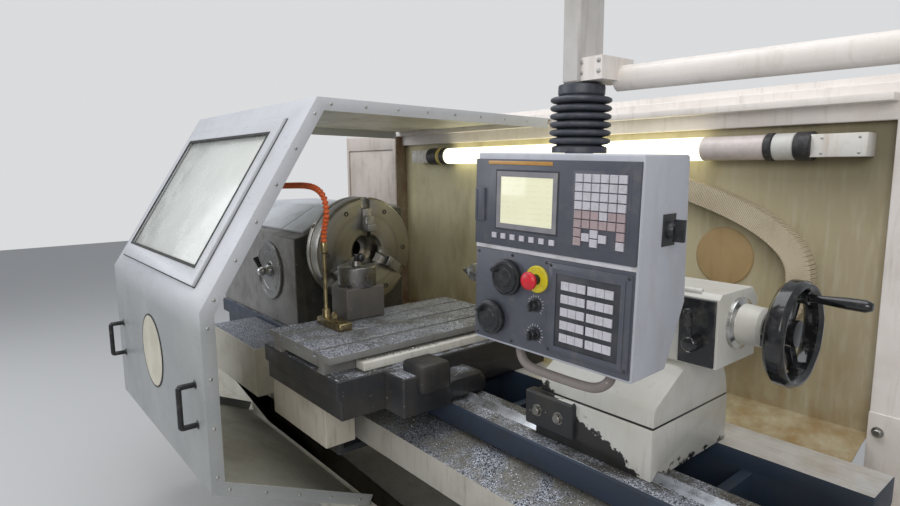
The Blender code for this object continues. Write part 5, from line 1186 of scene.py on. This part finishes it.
# Pendant housing: a box of folded sheet painted light blue-grey, hung turned a little towards the operator.
# Its lower rear slope is black, and hands have greyed its edges.
PENDANT_TURN = Matrix.Rotation(math.radians(2.98), 4, "Z") @ Matrix.Rotation(math.radians(1.6), 4, "Y")
PENDANT = Matrix.Translation((0.893, -0.5059, 1.531)) @ PENDANT_TURN
FACE = PENDANT @ Matrix(((1, 0, 0, 0), (0, 0, -1, 0), (0, 1, 0, 0), (0, 0, 0, 1)))
pendant_paint = finish(
    "pendant_paint",
    (0.44, 0.46, 0.52),
    ((0.50, 0.51, 0.56), 1, 0.25, 0.35, 0.65),
    ((0.33, 0.32, 0.30), 0.4, 0.05, 0.48, 0.78, (1, 1, 0.4)),
    ((0.16, 0.15, 0.15), 1, 0.010, 0.70, 0.72),
    dull=(0.06, 0.3, 0.7, 0.36, 0.55),
    bump=(0.0035, 2.0, 0.00012),
)
housing = reworked("pendant_housing", pendant_paint, 0.0022)
repaint(housing, ring_black, lambda c, n: n.z < -0.25 and n.y > 0.25)

# Control unit: a moulded panel in dark blue-grey with a sunk screen in a grey bezel, a card slot's cover and
# light key caps. An amber strip runs along its top and is left bare.
UNIT_FACE = 0.0083
KEY_FIELD = UNIT_FACE + 0.0006
charcoal = finish(
    "charcoal",
    (0.070, 0.075, 0.098),
    ((0.085, 0.090, 0.112), 1, 0.10, 0.35, 0.7),
    ((0.16, 0.15, 0.14), 0.45, 0.03, 0.52, 0.78),
    rough=0.42,
    dull=(0.05, 0.3, 0.7, 0.32, 0.52),
    bump=(0.0012, 2.0, 0.00006),
)
darker = finish(
    "charcoal_dark", (0.028, 0.030, 0.038), ((0.060, 0.060, 0.066), 1, 0.05, 0.4, 0.75), rough=0.45
)
unit = [
    slab("unit_plate", (0.002, -0.211, 0.0003), (0.428, -0.014, UNIT_FACE), 0.0015, FACE),
    slab("unit_key_field", (0.279, -0.191, UNIT_FACE - 0.002), (0.411, -0.034, KEY_FIELD), 0.0004, FACE),
    slab("unit_card_cover", (0.004, -0.157, 0.001), (0.034, -0.080, UNIT_FACE + 0.004), 0.0012, FACE),
    slab("unit_card_catch", (0.006, -0.153, 0.010), (0.012, -0.084, UNIT_FACE + 0.0055), 0.0008, FACE),
]
stand_in(fuse("control_unit_plate", unit), charcoal, "control_unit")
bezel_grey = finish("bezel_grey", (0.20, 0.20, 0.22), ((0.26, 0.25, 0.26), 1, 0.04, 0.4, 0.7), rough=0.4)
FRAME_EDGE = 0.0005
bezel = flat_ring(
    "screen_bezel", (0.070, -0.169), (0.240, -0.041), 0.0115, 0.0022, UNIT_FACE - 0.0004, FACE, FRAME_EDGE
)
coat(bezel, bezel_grey, "control_unit")
surround = flat_ring(
    "screen_surround", (0.066, -0.173), (0.244, -0.037), 0.005, 0.0006, UNIT_FACE - 0.0002, FACE, FRAME_EDGE
)
coat(surround, darker, "control_unit")
screen_glow = shading("screen_glow", 0.12)
put(screen_glow, "Base Color", (0.30, 0.30, 0.22))
put(screen_glow, "Emission Strength", 0.62)
bands = {"Vector": object_place(screen_glow), "Scale": 26.0, "Distortion": 0.0}
rows = add_node(screen_glow, "TexWave", bands, wave_type="BANDS", bands_direction="Z").outputs["Fac"]
marks = product(screen_glow, patches(screen_glow, 0.010, 0.46, 0.56, (1, 1, 0.2)), 0.18)
page = product(screen_glow, span(screen_glow, rows, 0.80, 0.92), marks)
glow = layered(screen_glow, (0.93, 0.92, 0.66), ((0.84, 0.83, 0.58), 1, 0.10, 0.35, 0.7))
put(screen_glow, "Emission Color", mixed(screen_glow, page, glow, (0.42, 0.42, 0.33)))
screen = slab(
    "screen_panel", (0.0805, -0.1585, 0.0055), (0.2295, -0.0515, UNIT_FACE + 0.0004), 0.0003, FACE
)
stand_in(screen, screen_glow, "screen")
amber = finish("amber_strip", (0.52, 0.28, 0.07), ((0.42, 0.21, 0.06), 1, 0.03, 0.4, 0.7), rough=0.35)
unit_strip = slab("unit_strip", (0.042, -0.026, 0.007), (0.225, -0.018, UNIT_FACE + 0.0008), 0.0003, FACE)
coat(unit_strip, amber, "control_unit")

# Key caps: moulded light plastic, dished a little, each on its own spring. Function keys are a dirty rose
# colour. They are bare here.
bpy.ops.mesh.primitive_cube_add(size=1, location=(0.5, -0.5, 0.5))
key = held("key_cap")
apply_place(key)
pick(key, lambda c, n: n.z > 0.9)
bpy.ops.mesh.inset(thickness=0.09)
bpy.ops.transform.translate(value=(0, 0, 0.12))
pick(key, lambda c, n: n.z > 0.99 and abs(c.x - 0.5) < 0.1)
bpy.ops.mesh.inset(thickness=0.10)
bpy.ops.transform.translate(value=(0, 0, -0.06))
bpy.ops.object.mode_set(mode="OBJECT")
KEY_HEIGHT = 0.0036


def key_places(left, top, pitch, size, cells, face):
    """Where key caps of this size stand, for cells given as (column, row)."""
    cap = Matrix.Diagonal((*size, KEY_HEIGHT, 1))
    spots = [(left + c * pitch[0], top - r * pitch[1], face - 0.0004) for c, r in cells]
    return [FACE @ Matrix.Translation(spot) @ cap for spot in spots]


def grid(columns, rows):
    return [(c, r) for r in rows for c in columns]


letters = (0.286, -0.040, (0.0198, 0.0183), (0.0172, 0.0160))
pale_cells = grid(range(6), range(4)) + [(3, 4), (1, 6.45), (2, 6), (2, 7), (3, 6.45), (5, 7)]
rose_cells = grid((0, 1, 2, 4, 5), [4]) + grid(range(6), [5]) + [(0, 6), (0, 7), (5, 6)]
pale_at = key_places(*letters, pale_cells, KEY_FIELD)
pale_at += key_places(0.059, -0.181, (0.0275, 0.02), (0.013, 0.012), grid(range(7), [0]), UNIT_FACE)
PAD_FACE = 0.0103
for left in (0.2625, 0.3279):
    pale_at += key_places(
        left, -0.2645, (0.0203, 0.028), (0.0190, 0.0175), grid(range(3), range(5)), PAD_FACE
    )
rose_at = key_places(*letters, rose_cells, KEY_FIELD)
for name, places, clean, grubby in (
    ("pale", pale_at, (0.56, 0.54, 0.59), (0.30, 0.28, 0.28)),
    ("rose", rose_at, (0.40, 0.31, 0.32), (0.24, 0.19, 0.18)),
):
    faded = (tuple(0.9 * c for c in clean), 1, 0.05, 0.35, 0.7)
    plastic = finish("key_" + name, clean, faded, (grubby, 0.5, 0.012, 0.50, 0.75), rough=0.45)
    coat(fuse("keys_" + name, copies(key, places)), plastic, "control_unit")
bpy.data.objects.remove(key, do_unlink=True)

# Operator panel: a dark sheet below the unit with a moulded key pad in a raised frame, screwed on at its
# corners. A light strip, left bare, covers the joint above it.
PLATE_FACE = 0.0043
panel = [
    slab("panel_plate", (0.004, -0.438, 0.0003), (0.426, -0.222, PLATE_FACE), 0.0006, FACE),
    slab("panel_pad", (0.226, -0.424, 0.001), (0.424, -0.229, PAD_FACE), 0.0018, FACE),
]
stand_in(fuse("operator_panel_plate", panel), charcoal, "operator_panel")
ridge = flat_ring(
    "pad_ridge", (0.238, -0.418), (0.412, -0.240), 0.010, 0.0022, PAD_FACE - 0.0002, FACE, FRAME_EDGE
)
coat(ridge, charcoal, "operator_panel")
membrane = slab(
    "pad_membrane", (0.248, -0.408, PAD_FACE - 0.001), (0.402, -0.250, PAD_FACE + 0.0005), 0.0003, FACE
)
coat(membrane, darker, "operator_panel")
strip_white = finish(
    "strip_white", (0.66, 0.66, 0.70), ((0.42, 0.40, 0.39), 1, 0.04, 0.45, 0.75), rough=0.4
)
panel_strip = slab("panel_strip", (0.002, -0.2215, 0.0003), (0.428, -0.2115, 0.0030), 0.0005, FACE)
coat(panel_strip, strip_white, "operator_panel")
spots = [(0.013, -0.231), (0.118, -0.229), (0.215, -0.232), (0.013, -0.430), (0.122, -0.430)]
pad_spots = [(0.232, -0.234), (0.418, -0.234), (0.232, -0.419), (0.418, -0.419)]
screws_at = [FACE @ Vector((*spot, PLATE_FACE)) for spot in spots]
screws_at += [FACE @ Vector((*spot, PAD_FACE)) for spot in pad_spots]
out = FACE.to_3x3() @ Vector((0, 0, 1))
panel_screws = dome_screws(screws_at, out, 0.0038, "panel_screw")
coat(fuse("panel_screws", panel_screws), ring_black, "operator_panel")

# Dials and buttons: two pulse wheels with knurled rims, the emergency stop's red mushroom on its yellow
# ring, and two override knobs with a scale of ticks round each.
knob_black = finish(
    "knob_black", (0.014, 0.015, 0.018), ((0.055, 0.054, 0.055), 1, 0.02, 0.5, 0.8), rough=0.35
)
DIAL_FOOT = PLATE_FACE + 0.0003


def on_panel(u, v, lift=0.0):
    """A place for a dial's foot on the operator panel, lifted by so much."""
    return FACE @ Vector((u, v, DIAL_FOOT + lift))


for name, u, v, radius in (
    ("pulse_wheel_upper", 0.109, -0.280, 0.041), ("pulse_wheel_lower", 0.0625, -0.3825, 0.040)
):
    dish = [
        (0, 0.0195),
        (0.50, 0.0195),
        (0.53, 0.0180),
        (0.74, 0.0180),
        (0.77, 0.0200),
        (0.84, 0.0198),
        (0.90, 0.0150),
        (1, 0.0130),
        (1, 0.0030),
    ]
    profile = [(radius * share, height) for share, height in dish] + [(radius - 0.003, 0.0), (0, 0.0)]
    pieces = [spun(name + "_disc", profile, on_panel(u, v), out, 96)]
    knob = [(0, 0.016), (0.0045, 0.016), (0.0060, 0.013), (0.0066, 0.004), (0.0066, 0.0), (0, 0.0)]
    pieces.append(spun(name + "_knob", knob, on_panel(u - 0.023, v + 0.017, 0.018), out, 28))
    for k in range(36):
        tooth = slab(
            "rim_tooth", (-0.0011, radius - 0.0006, 0.004), (0.0011, radius + 0.0006, 0.0125), 0.0003
        )
        turned = Matrix.Rotation(math.tau * k / 36, 4, "Z")
        tooth.data.transform(FACE @ Matrix.Translation((u, v, DIAL_FOOT)) @ turned)
        pieces.append(tooth)
    stand_in(fuse(name + "_turned", pieces), knob_black, name)
stop = (0.193, -0.272)
stop_yellow = finish(
    "stop_yellow", (0.70, 0.58, 0.02), ((0.46, 0.38, 0.04), 1, 0.02, 0.45, 0.75), rough=0.4
)
ring_profile = [
    (0.0118, 0.0058), (0.0280, 0.0058), (0.0300, 0.0042), (0.0300, 0.0), (0.0118, 0.0), (0.0118, 0.0058)
]
stop_ring = spun("stop_ring", ring_profile, FACE @ Vector((*stop, PLATE_FACE)), out, 72)
coat(stop_ring, stop_yellow, "operator_panel")
stop_red = finish("stop_red", (0.62, 0.018, 0.030), ((0.36, 0.02, 0.03), 1, 0.015, 0.48, 0.75), rough=0.3)
mushroom = [
    (0, 0.0400),
    (0.008, 0.0395),
    (0.014, 0.0382),
    (0.0185, 0.0355),
    (0.0200, 0.0330),
    (0.0200, 0.0285),
    (0.0180, 0.0262),
    (0.0120, 0.0245),
    (0, 0.0245),
]
stand_in(spun("stop_mushroom", mushroom, on_panel(*stop), out, 64), stop_red, "stop_button")
collar = [(0, 0.0250), (0.0105, 0.0250), (0.0110, 0.0240), (0.0110, 0.0063), (0, 0.0063)]
coat(spun("stop_collar", collar, on_panel(*stop), out, 48), knob_black, "stop_button")
ticks = []
KNOB_U = 0.190
for name, v in (("feed_knob", -0.331), ("speed_knob", -0.397)):
    profile = [
        (0, 0.0175),
        (0.0092, 0.0175),
        (0.0102, 0.0165),
        (0.0120, 0.0045),
        (0.0145, 0.0030),
        (0.0150, 0.0020),
        (0.0150, 0.0),
        (0, 0.0),
    ]
    pieces = [spun(name + "_body", profile, on_panel(KNOB_U, v), out, 48)]
    pieces.append(slab(name + "_bar", (0.187, v - 0.011, 0.016), (0.193, v + 0.011, 0.0285), 0.0012, FACE))
    stand_in(fuse(name + "_turned", pieces), knob_black, name)
    for k in range(15):
        reach = 0.0035 if k % 2 else 0.0055
        tick = slab("scale_tick", (-0.0006, 0.0185, 0.0), (0.0006, 0.0185 + reach, 0.0003), 0.0001)
        turned = Matrix.Rotation(math.radians(-135 + 270 * k / 14), 4, "Z")
        tick.data.transform(FACE @ Matrix.Translation((KNOB_U, v, 0.0042)) @ turned)
        ticks.append(tick)
coat(fuse("knob_scales", ticks), strip_white, "operator_panel")
reworked("side_switch", knob_black, 0.0012, 50)
switch_plate = slab("side_switch_plate", (0.4302, 0.080, -0.180), (0.4325, 0.130, -0.116), 0.0008, PENDANT)
switch_black = worn_paint(
    "switch_plate_black", (0.03, 0.03, 0.033), dirt=(0.28, 0.25, 0.22), dirty=0.6, streaks=0.2
)
coat(switch_plate, switch_black, "side_switch", "pendant")

# Bellows and handle: a rubber bellows hides the joint below the mast, and a bent pipe under the box pulls
# the pendant round. The pipe's paint is rubbed brown by gloves.
BELLOWS_R, HUB_TOP = 0.066, 0.146
rubber = finish(
    "bellows_rubber",
    (0.040, 0.045, 0.060),
    ((0.065, 0.070, 0.086), 1, 0.05, 0.35, 0.7),
    ((0.17, 0.16, 0.15), 0.5, 0.02, 0.52, 0.8),
    rough=0.42,
    dull=(0.04, 0.3, 0.7, 0.34, 0.55),
)
VALLEY = BELLOWS_R * 0.76
FOLDS = 6
pitch = (HUB_TOP - 0.042) / FOLDS
fold = (
    (0.06, 0.25),
    (0.16, 0.68),
    (0.28, 0.90),
    (0.40, 0.985),
    (0.50, 1.0),
    (0.60, 0.985),
    (0.72, 0.90),
    (0.84, 0.68),
    (0.94, 0.25),
    (1.0, 0.0),
)
neck = [
    (0.031, 0.0),
    (VALLEY - 0.004, 0.0),
    (VALLEY - 0.001, 0.0015),
    (VALLEY, 0.005),
    (VALLEY, 0.020),
    (VALLEY - 0.0025, 0.024),
]
skin = [(radius, HUB_TOP - drop) for radius, drop in neck]
for k in range(FOLDS):
    z = HUB_TOP - 0.024 - k * pitch
    for share, out_by in fold:
        skin.append((VALLEY - 0.0025 + (BELLOWS_R - VALLEY + 0.0025) * out_by, z - pitch * share))
skin += [
    (BELLOWS_R * 0.88, 0.0145),
    (BELLOWS_R * 0.90, 0.0120),
    (BELLOWS_R * 0.90, 0.0010),
    (0.031, 0.0010),
    (0.031, HUB_TOP),
]
bellows = spun("pendant_bellows_skin", skin, (0.212, 0.0995, 0), (0, 0, 1), 96, PENDANT)
stand_in(bellows, rubber, "pendant_bellows")
pipe_paint = worn_paint(
    "pipe_paint",
    (0.23, 0.20, 0.19),
    dirt=(0.10, 0.07, 0.05),
    dirty=0.5,
    streaks=0.2,
    under=(0.50, 0.49, 0.48),
    chips=0.58,
    rough=0.36,
)
PIPE_TOP = -0.446
pipe_points = [
    (0.112, 0.04, 0.0003),
    (0.112, 0.04, 0.012),
    (0.118, 0.037, 0.028),
    (0.135, 0.032, 0.042),
    (0.165, 0.03, 0.049),
    (0.31, 0.03, 0.049),
    (0.338, 0.032, 0.042),
    (0.356, 0.037, 0.028),
    (0.362, 0.04, 0.012),
    (0.362, 0.04, 0.0003),
]
pipe = [bowed("handle_pipe", [(x, y, PIPE_TOP - drop) for x, y, drop in pipe_points], 0.0108)]
flange = [(0, -0.004), (0.0175, -0.004), (0.0185, -0.0028), (0.0185, 0.0), (0, 0.0)]
pipe += [spun("handle_flange", flange, (x, 0.04, PIPE_TOP - 0.0003), (0, 0, 1), 40) for x in (0.112, 0.362)]
pipe_handle = apply_place(fuse("pendant_handle_pipe", pipe), PENDANT)
stand_in(pipe_handle, pipe_paint, "pendant_handle")

# Mast and arm: a square mast rises from the bellows, and a round arm carries it from a column at the
# machine's right end. The arm and column are painted warm white and the mast light grey, and a bracket bolts them
# together.
arm = reworked("pendant_arm", frame_paint, 0.003, 45)
post_grey = worn_paint(
    "post_grey",
    (0.52, 0.50, 0.48),
    dirt=(0.22, 0.19, 0.15),
    dirty=0.4,
    streaks=0.5,
    chips=0.64,
    under=(0.15, 0.14, 0.14),
)
repaint(arm, post_grey, lambda c, n: c.x < 1.130)
reworked("pendant_column", frame_paint, 0.003, 45)
bolts_at = [(x, -0.4302, z) for z in (1.690, 1.711) for x in (1.128, 1.172)]
mast_screws = dome_screws(bolts_at, (0, -1, 0), 0.005, "mast_screw")
coat(fuse("mast_screws", mast_screws), screw_zinc, "pendant_arm")

# Chips: short curled flakes of bright steel that the last job left. They lie on the table, on the saddle's
# ledges, on the covers and in the guard's pan, thickest below the tool.
bpy.ops.mesh.primitive_cube_add(size=1, location=(0, 0, 0))
flake = held("chip_flake")
flake.scale = (0.0034, 0.0016, 0.0005)
apply_place(flake)
pick(flake, lambda c, n: n.x > 0.9)
bpy.ops.mesh.extrude_region_move(TRANSFORM_OT_translate={"value": (0.0013, 0, 0.0009)})
bpy.ops.transform.resize(value=(1, 0.55, 1), center_override=(0, 0, 0))
bpy.ops.object.mode_set(mode="OBJECT")
chip_steel = finish(
    "chip_steel", (0.72, 0.74, 0.80), ((0.34, 0.35, 0.38), 1, 0.004, 0.35, 0.65), rough=0.26, metallic=0.9
)


def scattered(name, areas, node, seed, count):
    """Flakes strewn over flat areas, each (x, x, y, y, height, share of the flakes), in a single mesh."""
    dice = random.Random(seed)
    shell = [v.co.copy() for v in flake.data.vertices]
    sides = [tuple(face.vertices) for face in flake.data.polygons]
    corners, faces = [], []
    for x0, x1, y0, y1, height, share in areas:
        for _ in range(round(count * share)):
            x, y = dice.uniform(x0, x1), dice.uniform(y0, y1)
            heap = noise.noise(Vector((9 * x, 9 * y, seed)))
            if dice.random() > 0.62 + 0.9 * heap:
                continue
            size = dice.uniform(0.55, 1.25)
            turn = Matrix.Rotation(dice.uniform(0, math.tau), 4, "Z")
            turn = turn @ Matrix.Rotation(dice.uniform(-0.5, 0.5), 4, "X")
            turn = turn @ Matrix.Rotation(dice.uniform(-0.25, 0.25), 4, "Y")
            lift = height + dice.uniform(0.0004, 0.0010)
            place = Matrix.Translation((x, y, lift)) @ turn @ Matrix.Scale(size, 4)
            first = len(corners)
            corners += [place @ corner for corner in shell]
            faces += [tuple(first + k for k in side) for side in sides]
    mesh = bpy.data.meshes.new(name)
    mesh.from_pydata(corners, [], faces)
    coat(new_object(name, mesh), chip_steel, node)


table_areas = [
    (-0.04, 0.045, -0.64, -0.40, table_top, 0.12),
    (0.058, 0.165, -0.64, 0.14, table_top, 0.26),
    (0.178, 0.285, -0.64, 0.14, table_top, 0.26),
    (0.298, 0.388, -0.64, 0.14, table_top, 0.20),
    (-0.04, 0.045, -0.22, 0.14, table_top, 0.10),
]
table_areas += [(x - 0.006, x + 0.006, -0.63, 0.13, table_top - 0.016, 0.02) for x in (0.052, 0.172, 0.292)]
BLOCK_TOP = 1.0529
table_areas.append((-0.055, 0.045, -0.385, -0.235, BLOCK_TOP, 0.03))
scattered("table_chips", table_areas, "cross_slide", 3, 6500)
SADDLE_TOP, SHOE_TOP, WING_TOP = 0.8706, 0.8686, 0.9006
ledges = [
    (-0.095, 0.425, -0.648, -0.60, SADDLE_TOP, 0.5),
    (0.425, 0.44, -0.48, -0.30, SHOE_TOP, 0.06),
    (0.36, 0.40, -0.53, 0.28, WING_TOP, 0.44),
]
scattered("saddle_chips", ledges, "saddle", 5, 1100)
FEED_BOX_TOP, SCREW_COVER_TOP, TRAY_FLOOR = 0.718, 0.6453, 0.10
covers = [
    (-1.09, -0.54, -0.51, -0.295, FEED_BOX_TOP, 0.30), (-0.50, 1.56, -0.40, -0.292, SCREW_COVER_TOP, 0.70)
]
scattered("cover_chips", covers, "screw_cover", 7, 3600)
scattered("tray_chips", [(-0.73, 0.92, -0.34, 0.60, TRAY_FLOOR, 1.0)], "base", 9, 2600)
bpy.data.objects.remove(flake, do_unlink=True)
